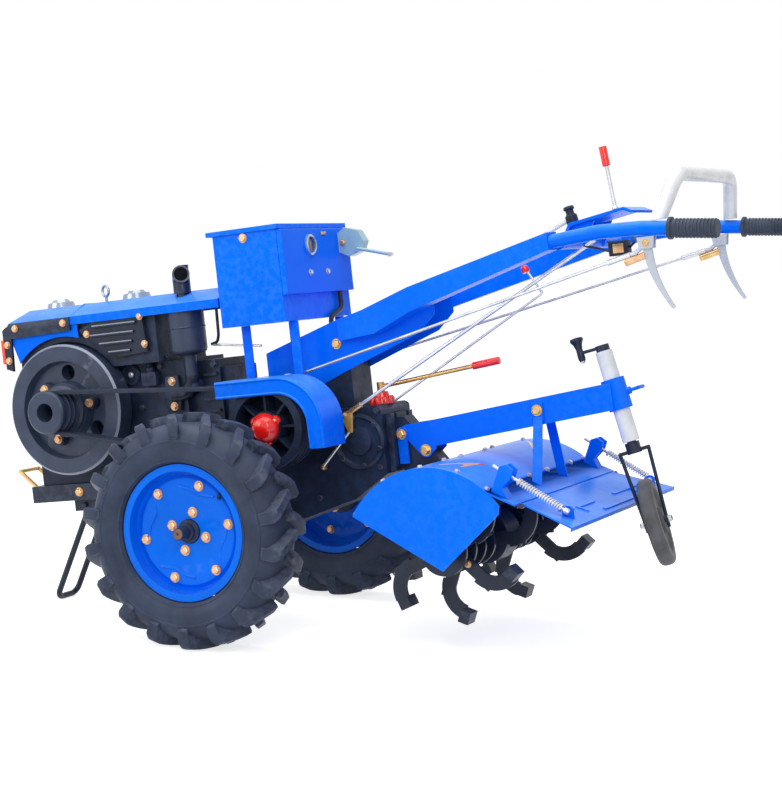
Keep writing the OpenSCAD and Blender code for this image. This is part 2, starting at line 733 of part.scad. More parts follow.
// Hoop over the handlebars
module hand_hoop() color("#dfe2e6") machine() {
    foot = tube_z(hoop_foot_x + hoop_d / 2) + tube_d / 2 + seat;
    difference() {
        swept(rounded([[hoop_foot_x, grip_half - 3, 600], hoop_top + [2, 10, 0],
            hoop_top - [-2, 10 + 2 * hoop_top[1], 0], [hoop_foot_x, 3 - grip_half, 600]], 2 * hoop_d),
            hoop_d, [1, 0, 0]);
        both_sides() block([-1400, 200, 500], [-1100, 400, foot]);
    }
}

// Steering clutch levers in their brackets below the handlebars
lever_y = grip_half - 9;
lever_d = 10;
lever_roof = tube_z(lever_at[0] - 20) - tube_d / 2 - seat;
lever_ear = [lever_at[0] + 40, lever_y, lever_at[1] - 22];
pull_end = [-152, 106, 340];
pull_dir = (pull_end - lever_ear) / norm(pull_end - lever_ear);
blade_t = 6;
blade_len = 150;
blade_w = 23;
blade_sweep = 48;
blade_steps = 10;

// Edges of a lever blade that narrows and curves away from its pivot
function blade_edge(t, side) = let (run = unit([-2 * blade_sweep * t, -blade_len]))
    lever_at + [-blade_sweep * t * t, -blade_len * t] + side * blade_w / 2 * (1 - 0.66 * t) * [-run[1], run[0]];

module steering_levers() color("#d5d8dc") machine() both_sides() {
    difference() {
        union() {
            slab(lever_y - blade_t / 2, lever_y + blade_t / 2) polygon(concat(
                [for (i = [0 : blade_steps]) blade_edge(i / blade_steps, 1)],
                [for (i = [blade_steps : -1 : 0]) blade_edge(i / blade_steps, -1)]));
            bent([[lever_at[0], lever_y, lever_at[1]], lever_ear - pull_dir * 12, lever_ear], lever_d);
            bar_y(lever_at, 22, lever_y - lever_d / 2 - 1, lever_y + lever_d / 2 + 1);
        }
        bar_y(lever_at, 8 + 2 * seat, lever_y - 20, lever_y + 20);
    }
    both_sides_of(lever_y) slab(lever_y + lever_d / 2 + 1 + seat, lever_y + lever_d / 2 + 5)
        polygon([[lever_at[0] - 16, lever_at[1] - 13], [lever_at[0] + 16, lever_at[1] - 13],
            [lever_at[0] + 20, lever_roof], [lever_at[0] - 20, lever_roof]]);
    bar_y(lever_at, 8, lever_y - lever_d / 2 - 7, lever_y + lever_d / 2 + 7);
}

// The same plate at equal distances from a middle plane
module both_sides_of(y) {
    children();
    translate([0, 2 * y, 0]) mirror([0, 1, 0]) children();
}

// Control rods along the handles, with the arms on the gearbox that they pull
module control_rods() color("#c9c4b4") machine() {
    both_sides() {
        rod(lever_ear + pull_dir * seat, pull_end, rod_d);
        rod(lever_ear + pull_dir * seat, lever_ear + pull_dir * 62, 13);
        slab(96, 102) difference() {
            polygon([[-166, 206], [-134, 206], [-143, 352], [-161, 352]]);
            translate([clutch_x, clutch_z]) circle(r = 60);
        }
    }
}

module tiller_lever() color("#b9a06a") machine() {
    translate(boot_top) cylinder(d = 20, h = boss_h);
    rod(reach_from, reach_from + (reach_to - reach_from) * reach_share, 11);
}

// Tiller drive case from the gearbox down to the rotor
module tiller_case() color("#1c1d20") machine() {
    difference() {
        union() {
            slab(-64, 64) translate([gear_rear - 16, 82]) square([16 - seat, 144]);
            slab(-case_half, case_half) {
                polygon([[gear_rear - 8, 96], [gear_rear - 8, 214], [-430, 214], [-500, 120], [-560, 40], [-560, -60],
                    [-640, -150], [-590, -150]]);
                translate(rotor_at) circle(d = 136);
            }
        }
        both_sides() slab(arm_lug_half, case_half + 1) translate([-700, 60]) square([300, 180]);
        bar_y(rotor_at, shaft_d + 1, -case_half - 1, case_half + 1);
        slab(-case_half - 1, case_half + 1) difference() {
            translate([-720, -40]) square([300, 190]);
            translate(cover_c) circle(r = cover_r + 200);
        }
    }
}

// Tiller arm: a square tube with cheeks on the case and the tail post's sleeve
module arm_outline() {
    polygon([[-500, 199], arm_rear, [arm_rear[0] - 3, arm_rear[1] - arm_h], [-500, 199 - arm_h]]);
}

module tail_axis(s) translate([post_top[0], 0, post_top[1]]) rotate([0, post_tilt, 0])
    translate([0, 0, -s]) children();

module tiller_arm() color("#0a5fee") machine() {
    difference() {
        union() {
            slab(-arm_w / 2, arm_w / 2) arm_outline();
            both_sides() slab(arm_lug_half + seat, arm_w / 2) difference() {
                union() {
                    polygon([[-412, 185], [-436, 194], [-512, 199], [-512, 128], [-500, 118], [-470, 114]]);
                    for (p = arm_pins) translate(p) circle(d = 36);
                }
                for (p = arm_pins) translate(p) circle(d = 14);
            }
            tail_axis(146) cylinder(d = sleeve_d, h = 76);
            tail_axis(108) rotate([0, -90, 0]) {
                cylinder(d = 18, h = sleeve_d / 2 + 8);
                cylinder(d = 9, h = sleeve_d / 2 + 38);
                translate([0, -18, sleeve_d / 2 + 34]) rotate([-90, 0, 0]) cylinder(d = 9, h = 36);
            }
        }
        slab(-arm_w / 2 + sheet, arm_w / 2 - sheet) polygon([[-490, 199 - sheet - 1],
            [arm_rear[0] + 34, arm_rear[1] - sheet - 3], [arm_rear[0] + 34, arm_rear[1] - arm_h + sheet],
            [-490, 199 - arm_h + sheet]]);
        tail_axis(250) cylinder(d = post_d + 2 * seat, h = 300);
    }
}

// Straps from the front pins down to the cover
module cover_links() color("#0a5ae0") machine() both_sides()
    slab(arm_w / 2 + seat, arm_w / 2 + 6) difference() {
        union() {
            translate(arm_pins[0]) circle(d = 34);
            translate([arm_pins[0][0] - 14, 96]) square([26, arm_pins[0][1] - 96]);
        }
        translate(arm_pins[0]) circle(d = 14);
        translate(cover_c) circle(r = cover_r + seat);
    }

// Inverted V brace between the arm and the cover's rear flange
module cover_brace() color("#0a5fee") machine() both_sides() difference() {
    rear = cover_point(cover_rear_a);
    fall = flange_end - rear;
    union() {
        block([brace_at[0] - 15, arm_w / 2 + seat, brace_at[1] - 26],
            [brace_at[0] + 15, arm_w / 2 + 5, brace_at[1] + 18]);
        translate([brace_at[0] - 12, arm_w / 2 + 2, brace_at[1] - 22]) rotate([18, 0, 0])
            translate([0, 0, -200]) cube([24, 5, 204]);
    }
    slab(0, cover_half) polygon([rear - fall + [0, seat], flange_end + fall + [0, seat], flange_end + fall - [0, 300],
        rear - fall - [0, 300]]);
}

// Tiller cover: a rolled sheet with a rear flange, side plates and spring brackets
function cover_point(a, r = cover_r) = cover_c + r * [cos(a), sin(a)];

module cover_sheet() {
    intersection() {
        translate(cover_c) difference() {
            circle(r = cover_r);
            circle(r = cover_r - sheet);
        }
        polygon([cover_c, cover_point(cover_front_a, 600), cover_c + [0, 800], cover_point(cover_rear_a, 600)]);
    }
    polygon([cover_point(cover_rear_a), flange_end, flange_end - [0, sheet],
        cover_point(cover_rear_a, cover_r - sheet)]);
}

module cover_side() intersection() {
    translate(cover_c) circle(r = cover_r);
    polygon([cover_point(cover_front_a), side_bottom, side_rear, side_rear + [-60, 300], [-340, 300]]);
}

module tiller_cover() color("#0c66f5") machine() difference() {
    union() {
        slab(-cover_half, cover_half) cover_sheet();
        both_sides() slab(cover_half - sheet, cover_half) cover_side();
    }
    slab(-case_half - run_gap, case_half + run_gap) polygon([[-300, -100], [-300, 300], [-576, 300], [-576, -100]]);
}

// Forked brackets on the cover's rear flange, with the spring rods between their prongs
module spring_brackets() color("#0b60f0") machine() both_sides() difference() {
    rear = cover_point(cover_rear_a) + [0, seat];
    fall = flange_end + [0, seat] - rear;
    slab(spring_y - 17, spring_y + 17) polygon([rear + 0.07 * fall, rear + [-30.8, 54.8], rear + [-48.8, 58.8],
        rear + [-64.8, 44.8], rear + [-56.8, 24.8], rear + [-32.8, 4], rear + 0.67 * fall]);
    slab(spring_y - spring_slot, spring_y + spring_slot)
        polygon([rear + [20, 4], rear + [20, 90], rear + [-90, 90], rear + [-90, 4]]);
}

// Apron: a ribbed flap hinged behind the cover
module apron() color("#0c66f5") machine() {
    v = (apron_end - apron_pin) / norm(apron_end - apron_pin);
    tilt = atan2(v[1], -v[0]);
    length = norm(apron_end - apron_pin);
    translate([apron_pin[0], 0, apron_pin[1]]) rotate([0, tilt, 0]) {
        mirror([1, 0, 0]) linear_extrude(sheet) polygon([[10, -apron_half_front], [10, apron_half_front],
            [length, apron_half_rear], [length, -apron_half_rear]]);
        both_sides() {
            block([-rib_at - rib_w, 70, sheet - 1], [-rib_at, 180, sheet + rib_h]);
            block([-rib_at - 34, 176, sheet - 1], [-rib_at, 184, sheet + rib_h]);
            block([-rib_at - rib_w, 210, sheet - 1], [-rib_at, 270, sheet + rib_h]);
        }
        block([-length + 16, -108, sheet - 1], [-length + 16 + rib_w, 108, sheet + rib_h]);
        block([-length, -apron_half_rear, -6], [-length + 3, apron_half_rear, sheet]);
        rotate([-90, 0, 0]) translate([0, 0, -apron_half_front]) cylinder(d = pin_d, h = 2 * apron_half_front);
        block([-11, -apron_half_front, 0], [0, apron_half_front, sheet]);
    }
    both_sides() difference() {
        slab(spring_y - 16, spring_y - 9) union() {
            translate(spring_foot) circle(d = 24);
            polygon([spring_foot + [-12, 0], spring_foot + [12, 0], spring_foot + [22, -22],
                spring_foot + [-12, -30]]);
        }
        bar_y(spring_foot, 8.6, 0, 400);
    }
}

// Spring rods between the cover's brackets and the apron
module spring_rod() {
    v = (spring_top - spring_foot) / norm(spring_top - spring_foot);
    reach = norm(spring_top - spring_foot);
    p = [spring_foot[0], spring_y, spring_foot[1]];
    u = [v[0], 0, v[1]];
    rod(p, p + u * (reach + 40), 8);
    rod(p + u * 14, p + u * 18, 20);
    for (s = [20 : 8 : reach - 52]) rod(p + u * s, p + u * (s + 4), 16);
    bar_y(spring_foot, 8, spring_y - 18, spring_y + 4);
    translate(p) sphere(d = 16);
}

module spring_rod_left() color("#e6e8ea") machine() spring_rod();
module spring_rod_right() color("#e6e8ea") machine() mirror([0, 1, 0]) spring_rod();

// Tail post, and the crank that screws it up and down
module tail_post() color("#e3e5e8") machine() difference() {
    tail_axis(post_len) cylinder(d = post_d, h = post_len);
    tail_axis(post_len + 1) cylinder(d = 23, h = stem_len + 1);
}

module tail_crank() color("#2a2b2e") machine() tail_axis(0) {
    translate([0, 0, seat]) cylinder(d = post_d - 8, h = 15);
    rod([0, 0, 10], [crank_reach, 0, 12], 8);
    translate([crank_reach, 0, 0]) rotate_extrude()
        polygon([[0, -8], [7, -8], [9, -2], [9, 6], [8, 22], [11, 34], [17, 44], [15, 50], [0, 52]]);
}

// Tail wheel in its swivelling wire fork
module swivel() tail_axis(0) rotate([0, 0, tail_turn]) children();

module tail_fork() color("#27282b") machine() swivel() {
    top = -post_len - 24;
    near = fork_gap + fork_t / 2;
    wide = near + fork_flare;
    translate([0, 0, top - fork_d / 2]) cylinder(d = 22, h = fork_d / 2 - top - post_len + stem_len - seat);
    translate([0, 0, top - fork_d / 2 - 2]) cylinder(d = post_d - 6, h = fork_d / 2 - top - post_len - seat);
    difference() {
        union() {
            bent([[0, -near, -tail_drop - 20], [0, -near, -tail_drop], [0, -wide, top], [0, wide, top],
                [0, near, -tail_drop], [0, near, -tail_drop - 20]], fork_d);
            both_sides() translate([0, fork_gap, -tail_drop]) rotate([-90, 0, 0])
                cylinder(d = fork_eye_d, h = fork_t);
        }
        translate([0, 0, -tail_drop]) bar_y([0, 0], 12.6, -100, 100);
        both_sides() translate([0, 0, -tail_drop]) bar_y([0, 0], tail_d, 0, fork_gap);
    }
}

module tail_wheel() color("#3a3b3e") machine() swivel() translate([0, 0, -tail_drop]) {
    r = tail_d / 2;
    h = tail_w / 2;
    turned([0, 0]) polygon([[16, -h], [r - 8, -h], [r - 2, -h + 5], [r, -h + 12], [r, h - 12], [r - 2, h - 5],
        [r - 8, h], [r - 26, h], [r - 30, h - 8], [34, h - 8], [30, h + 3], [0, h + 3], [0, -h - 3], [30, -h - 3]]);
    bar_y([0, 0], 12, -fork_gap - fork_t - 10, fork_gap + fork_t + 10);
}

// Drive wheel pieces, turned about the y axis with the outer side to +y
function mirrored(points) = concat(points,
    [for (i = [len(points) - 1 : -1 : 0]) [points[i][0], -points[i][1]]]);

module tyre() {
    r = tyre_d / 2 - lug_h;
    h = tyre_w / 2;
    b = rim_d / 2 - rim_well + 0.5;
    e = rim_half - 6.5;
    f = b + 13;
    w = r - f;
    turned([0, 0]) polygon(mirrored([[r, 30], [r - 0.12 * w, h - 12], [r - 0.35 * w, h], [r - 0.62 * w, h],
        [f + 0.15 * w, h - 10], [f + 0.03 * w, rim_half + 4], [f, e], [b, e], [b, e - 12], [f + 0.09 * w, e - 6],
        [r - 0.57 * w, h - 14], [r - 0.3 * w, h - 16], [r - 0.16 * w, h - 32]]));
    intersection() {
        turned([0, 0]) polygon(mirrored([[tyre_d / 2, 30], [tyre_d / 2 - 5, h - 14], [tyre_d / 2 - 12, h - 5],
            [r - 8, h + 1], [r - 0.35 * w, h + 1], [r - 0.36 * w, h - 11], [r - 0.16 * w, h - 26], [r - 8, 30]]));
        union() for (i = [0 : lug_n - 1]) for (side = [-1, 1])
            rotate([0, (i + side / 4) * 360 / lug_n, 0]) tyre_lug(side);
    }
}

// A bar that leads at the tread's middle and trails at the shoulder
module tyre_lug(side) {
    h = tyre_w / 2;
    translate([0, 0, rim_d / 2]) linear_extrude(tyre_d / 2)
        polygon([[-11, -side * 7], [11, -side * 7], [11 - 0.4 * lug_slant, side * 0.46 * h],
            [14 - lug_slant, side * (h + 2)], [-14 - lug_slant, side * (h + 2)],
            [-12 - 0.4 * lug_slant, side * 0.46 * h]]);
}

module rim() {
    r = rim_d / 2;
    h = rim_half;
    turned([0, 0]) polygon([[r, h], [r, h - 4], [r - rim_well, h - 6], [r - rim_well - 2, -h + 6], [r, -h + 4],
        [r, -h], [r - 18, -h], [r - 19, 8], [r - 34, 12], [r - 40, 18], [r - 60, 20], [82, 10], [30, 10], [30, 16],
        [80, 16], [r - 62, 26], [r - 38, 25], [r - 30, 18], [r - 20, 17], [r - 18, h]]);
}

module hub() {
    turned([0, 0]) polygon([[0, -tyre_w / 2 - 120], [20, -tyre_w / 2 - 120], [20, -41], [38, -41], [38, -2], [62, -2],
        [62, 10 - seat], [29.7, 10 - seat], [29.7, 20], [stub_d / 2 + 6, 24], [stub_d / 2 + 6, 34], [stub_d / 2, 34],
        [stub_d / 2, stub_out - 2], [stub_d / 2 - 2, stub_out], [0, stub_out]]);
}

module left_wheel() machine() translate([0, track / 2, 0]) children();
module right_wheel() machine() mirror([0, 1, 0]) translate([0, track / 2, 0]) children();

module tyre_left() color("#1e1f21") left_wheel() tyre();
module rim_left() color("#0a5ee8") left_wheel() rim();
module hub_left() color("#1d1e20") left_wheel() hub();
module tyre_right() color("#1e1f21") right_wheel() tyre();
module rim_right() color("#0a5ee8") right_wheel() rim();
module hub_right() color("#1d1e20") right_wheel() hub();

// Rotor shaft with the sockets that hold the tines
function tine_y(i) = case_half + 60 + i * (cover_half - case_half - 126) / (tine_sets - 1);

module rotor_shaft() color("#232427") machine() {
    reach = cover_half - 16;
    bar_y(rotor_at, shaft_d, -reach, reach);
    both_sides() for (i = [0 : tine_sets - 1])
        bar_y(rotor_at, 122, tine_y(i) - 5, tine_y(i) + 5);
}

module tine(y, a, s) translate([rotor_at[0], 0, rotor_at[1]]) rotate([0, a, 0]) {
    inner = y + s * (5 + seat);
    slab(min(inner, inner + 8 * s), max(inner, inner + 8 * s)) {
        translate([32, -16]) square([tine_r - 92, 32]);
        translate([tine_r - 102, -58]) difference() {
            intersection() {
                circle(r = 80);
                square([200, 200]);
            }
            circle(r = 44);
        }
    }
    block([tine_r - 54, min(inner, inner + 44 * s), -84], [tine_r - 24, max(inner, inner + 44 * s), -57]);
}

module tines() color("#1a1b1d") machine() both_sides() for (i = [0 : tine_sets - 1])
    for (k = [0 : 1]) tine(tine_y(i), i * 67 + k * 180, k == 0 ? 1 : -1);

// Front stand: a bent rod hinged between the frame's plates
module u_rod(length, half, d, bend) {
    both_sides() {
        translate([0, half, 0]) rotate([0, 90, 0]) cylinder(d = d, h = length - bend);
        translate([length - bend, half - bend, 0]) rotate_extrude(angle = 90) translate([bend, 0]) circle(d = d);
    }
    translate([length, -half + bend, 0]) rotate([-90, 0, 0]) cylinder(d = d, h = 2 * (half - bend));
}

module front_stand() color("#1f2023") machine() {
    v = stand_foot - stand_pivot;
    translate([stand_pivot[0], 0, stand_pivot[1]]) rotate([0, atan2(-v[1], v[0]), 0])
        u_rod(norm(v), stand_leg_y, stand_rod_d, 24);
    both_sides() bar_y(stand_pivot, 28, stand_leg_y - 11, stand_leg_y + 11);
    bar_y(stand_pivot, stand_pin_d - 2 * seat, -rail_half + rail_flange - 14, rail_half - rail_flange + 14);
}

chassis_frame();
tow_ring();
engine_block();
engine_hood();
side_panels();
grille_panels();
front_lamps();
silencer();
hood_fittings();
gearbox();
axle_housings();
belts();
belt_guard();
toolbox();
toolbox_legs();
instrument_panel();
control_box();
conduit();
handle_frame();
handlebars();
hand_grips();
shift_panel();
shift_lever();
lever_knobs();
hand_hoop();
steering_levers();
control_rods();
tiller_lever();
tiller_case();
tiller_arm();
cover_links();
cover_brace();
tiller_cover();
spring_brackets();
tail_post();
tail_crank();
flywheel();
engine_pulley();
clutch_pulley();
clutch_cap();
toolbox_lid();
tyre_left();
rim_left();
hub_left();
tyre_right();
rim_right();
hub_right();
rotor_shaft();
tines();
apron();
spring_rod_left();
spring_rod_right();
tail_fork();
tail_wheel();
front_stand();
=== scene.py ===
import json
import math

import bmesh
import bpy
from mathutils import Matrix, Vector


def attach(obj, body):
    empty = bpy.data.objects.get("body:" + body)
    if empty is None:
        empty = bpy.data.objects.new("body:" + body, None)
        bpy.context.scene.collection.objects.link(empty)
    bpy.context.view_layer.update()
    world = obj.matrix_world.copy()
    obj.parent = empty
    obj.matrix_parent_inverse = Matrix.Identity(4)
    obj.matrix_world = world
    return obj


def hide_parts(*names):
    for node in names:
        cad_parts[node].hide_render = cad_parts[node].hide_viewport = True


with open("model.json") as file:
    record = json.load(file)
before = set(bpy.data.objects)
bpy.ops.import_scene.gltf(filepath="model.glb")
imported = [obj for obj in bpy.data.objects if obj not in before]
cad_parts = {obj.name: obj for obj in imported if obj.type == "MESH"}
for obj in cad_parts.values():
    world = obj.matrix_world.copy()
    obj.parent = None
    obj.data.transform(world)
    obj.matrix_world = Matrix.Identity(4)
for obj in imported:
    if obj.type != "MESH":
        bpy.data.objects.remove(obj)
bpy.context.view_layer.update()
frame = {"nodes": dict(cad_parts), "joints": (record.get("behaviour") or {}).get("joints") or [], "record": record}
cadNodes = frame["nodes"]
print("frame loaded with", len(cadNodes), "nodes")

# the machine is drawn level, in millimetres from the axle, then pitched onto its stand
stance = {"pitch": math.radians(7), "axle": "wheel_left_spin"}
jointAt = {j["name"]: Vector(j["pos_m"]) for j in frame["joints"]}
axlePoint = Vector((jointAt[stance["axle"]].x, 0, jointAt[stance["axle"]].z))
pitchTurn = Matrix.Rotation(stance["pitch"], 4, "Y")
onGround = Matrix.Translation(axlePoint) @ pitchTurn @ Matrix.Scale(0.001, 4)


def spot(x, y, z):
    return onGround @ Vector((x, y, z))


def heading(x, y, z):
    return (pitchTurn.to_3x3() @ Vector((x, y, z))).normalized()


# view from the photograph's place
viewSet = {"from": (-2.2582, 4.4617, 1.0552), "yaw": 25.83, "down": 5.13, "lens": 89.9}


def setCamera():
    yaw, down = math.radians(viewSet["yaw"]), math.radians(viewSet["down"])
    look = Vector((math.sin(yaw) * math.cos(down), -math.cos(yaw) * math.cos(down), -math.sin(down)))
    cam = bpy.data.cameras.new("photoView")
    cam.lens, cam.sensor_width, cam.clip_end = viewSet["lens"], 36, 100
    holder = bpy.data.objects.new("photoView", cam)
    holder.location = viewSet["from"]
    holder.rotation_euler = look.to_track_quat("-Z", "Y").to_euler()
    bpy.context.scene.collection.objects.link(holder)
    bpy.context.scene.camera = holder


def feed(tree, socket, value):
    if hasattr(value, "is_output"):
        tree.links.new(value, socket)
    else:
        socket.default_value = value


def addMath(tree, kind, a, b):
    node = tree.nodes.new("ShaderNodeMath")
    node.operation = kind
    for socket, value in zip(node.inputs, (a, b)):
        feed(tree, socket, value)
    return node.outputs[0]


# soft studio light (place, size and power of each), and a white surround for the eye and for reflections
lightSet = {"skyLevel": 0.42, "aim": (0, 0, 0.5), "top": ((0.3, 0.6, 4.6), 4.2, 130),
            "key": ((-2.6, 4.6, 3.4), 2.6, 112), "fill": ((3.2, 3.4, 2.2), 2.6, 60),
            "floorHalf": 30, "floorTone": 0.8, "floorLift": 0.72}


def seenDirectly(tree):
    path = tree.nodes.new("ShaderNodeLightPath")
    direct = addMath(tree, "MAXIMUM", path.outputs["Is Camera Ray"], path.outputs["Is Glossy Ray"])
    return addMath(tree, "MAXIMUM", direct, path.outputs["Is Transmission Ray"])


def setStudio():
    scene = bpy.context.scene
    scene.view_settings.view_transform = "Standard"
    world = bpy.data.worlds.new("studio")
    scene.world = world
    world.use_nodes = True
    tree = world.node_tree
    tree.nodes.clear()
    soft, white = tree.nodes.new("ShaderNodeBackground"), tree.nodes.new("ShaderNodeBackground")
    soft.inputs["Color"].default_value = (1, 1, 1, 1)
    soft.inputs["Strength"].default_value = lightSet["skyLevel"]
    white.inputs["Color"].default_value = (1, 1, 1, 1)
    mix, out = tree.nodes.new("ShaderNodeMixShader"), tree.nodes.new("ShaderNodeOutputWorld")
    tree.links.new(seenDirectly(tree), mix.inputs[0])
    tree.links.new(soft.outputs[0], mix.inputs[1])
    tree.links.new(white.outputs[0], mix.inputs[2])
    tree.links.new(mix.outputs[0], out.inputs["Surface"])
    for name in ("top", "key", "fill"):
        at, size, power = lightSet[name]
        lamp = bpy.data.lights.new(name + "Light", "AREA")
        lamp.size, lamp.energy = size, power
        holder = bpy.data.objects.new(name + "Light", lamp)
        holder.location = at
        holder.rotation_euler = (Vector(lightSet["aim"]) - Vector(at)).to_track_quat("-Z", "Y").to_euler()
        scene.collection.objects.link(holder)
    bm = bmesh.new()
    bmesh.ops.create_grid(bm, x_segments=4, y_segments=4, size=lightSet["floorHalf"])
    mesh = bpy.data.meshes.new("paleFloor")
    bm.to_mesh(mesh)
    bm.free()
    floor = bpy.data.objects.new("paleFloor", mesh)
    scene.collection.objects.link(floor)
    paper = bpy.data.materials.new("palePaper")
    paper.use_nodes = True
    tree = paper.node_tree
    tree.nodes.clear()
    plain, glow = tree.nodes.new("ShaderNodeBsdfDiffuse"), tree.nodes.new("ShaderNodeEmission")
    level = lightSet["floorTone"]
    plain.inputs["Color"].default_value = (level, level, level, 1)
    lift = addMath(tree, "MULTIPLY", seenDirectly(tree), lightSet["floorLift"])
    tree.links.new(lift, glow.inputs["Strength"])
    both, out = tree.nodes.new("ShaderNodeAddShader"), tree.nodes.new("ShaderNodeOutputMaterial")
    tree.links.new(plain.outputs[0], both.inputs[0])
    tree.links.new(glow.outputs[0], both.inputs[1])
    tree.links.new(both.outputs[0], out.inputs["Surface"])
    mesh.materials.append(paper)


setCamera()
setStudio()
print("view and light are set")


# shared effects: speckle of a finish, rubbed edges that also carry a painted highlight on convex edges, settled dust
# that also carries a painted sky reflection on upward faces
effectSet = {"spread": (0.3, 0.7), "broadShare": 0.6, "fineShare": 0.4, "rubGlintPatch": (0.42, 0.62),
             "dustSheenUp": (0.1, 0.95), "dustSheenPatch": (0.38, 0.7, 0.6, 1), "dustSheenGrain": 0.65}


def shaderGroup(name, takes, gives):
    group = bpy.data.node_groups.new(name, "ShaderNodeTree")
    for label, value in takes:
        group.interface.new_socket(label, in_out="INPUT", socket_type="NodeSocketFloat").default_value = value
    for label in gives:
        group.interface.new_socket(label, in_out="OUTPUT", socket_type="NodeSocketFloat")
    return group, group.nodes.new("NodeGroupInput"), group.nodes.new("NodeGroupOutput")


def addRange(tree, value, low, high, toLow=0, toHigh=1):
    node = tree.nodes.new("ShaderNodeMapRange")
    for socket, item in zip(node.inputs, (value, low, high, toLow, toHigh)):
        feed(tree, socket, item)
    return node.outputs[0]


def addNoise(tree, scale, detail, roughness=0.55):
    place = tree.nodes.new("ShaderNodeTexCoord")
    node = tree.nodes.new("ShaderNodeTexNoise")
    tree.links.new(place.outputs["Object"], node.inputs["Vector"])
    for label, value in (("Scale", scale), ("Detail", detail), ("Roughness", roughness)):
        feed(tree, node.inputs[label], value)
    return node.outputs["Fac"]


def makeSpeckle():
    takes = [("Scale", 40), ("Fine Scale", 600), ("Smooth", 0.25), ("Rough", 0.4)]
    group, given, out = shaderGroup("finishSpeckle", takes, ["Mottle", "Roughness", "Height"])
    broad = addNoise(group, given.outputs["Scale"], 5)
    fine = addNoise(group, given.outputs["Fine Scale"], 3)
    group.links.new(addRange(group, broad, *effectSet["spread"]), out.inputs["Mottle"])
    blend = addMath(group, "ADD", addMath(group, "MULTIPLY", broad, effectSet["broadShare"]),
                    addMath(group, "MULTIPLY", fine, effectSet["fineShare"]))
    ends = given.outputs["Smooth"], given.outputs["Rough"]
    group.links.new(addRange(group, blend, *effectSet["spread"], *ends), out.inputs["Roughness"])
    group.links.new(fine, out.inputs["Height"])
    return group


# lighter colour on convex edges found by pointiness: partly worn paint, partly a painted highlight along the edges
def makeRubAndGlint():
    group, given, out = shaderGroup("edgeRubAndGlint", [("Start", 0.53), ("Full", 0.62), ("Breakup", 90)], ["Mask"])
    shape = group.nodes.new("ShaderNodeNewGeometry")
    edge = addRange(group, shape.outputs["Pointiness"], given.outputs["Start"], given.outputs["Full"])
    patch = addRange(group, addNoise(group, given.outputs["Breakup"], 4), *effectSet["rubGlintPatch"])
    group.links.new(addMath(group, "MULTIPLY", edge, patch), out.inputs["Mask"])
    return group


# lighter colour on upward-facing faces: partly settled dust, partly a painted reflection of the bright sky on the tops
def makeDustAndSheen():
    group, given, out = shaderGroup("dustAndSkySheen", [("Amount", 0.2), ("Scale", 14)], ["Mask"])
    place = group.nodes.new("ShaderNodeTexCoord")
    split = group.nodes.new("ShaderNodeSeparateXYZ")
    group.links.new(place.outputs["Normal"], split.inputs[0])
    upward = addRange(group, split.outputs["Z"], *effectSet["dustSheenUp"])
    patch = addRange(group, addNoise(group, given.outputs["Scale"], 6, effectSet["dustSheenGrain"]), *effectSet["dustSheenPatch"])
    settledAndLit = addMath(group, "MULTIPLY", upward, patch)
    group.links.new(addMath(group, "MULTIPLY", settledAndLit, given.outputs["Amount"]), out.inputs["Mask"])
    return group


speckleGroup, rubGlintGroup, dustSheenGroup = makeSpeckle(), makeRubAndGlint(), makeDustAndSheen()


def tone(text):
    parts = [int(text[i:i + 2], 16) / 255 for i in (0, 2, 4)]
    return tuple(p / 12.92 if p <= 0.04045 else ((p + 0.055) / 1.055) ** 2.4 for p in parts) + (1,)
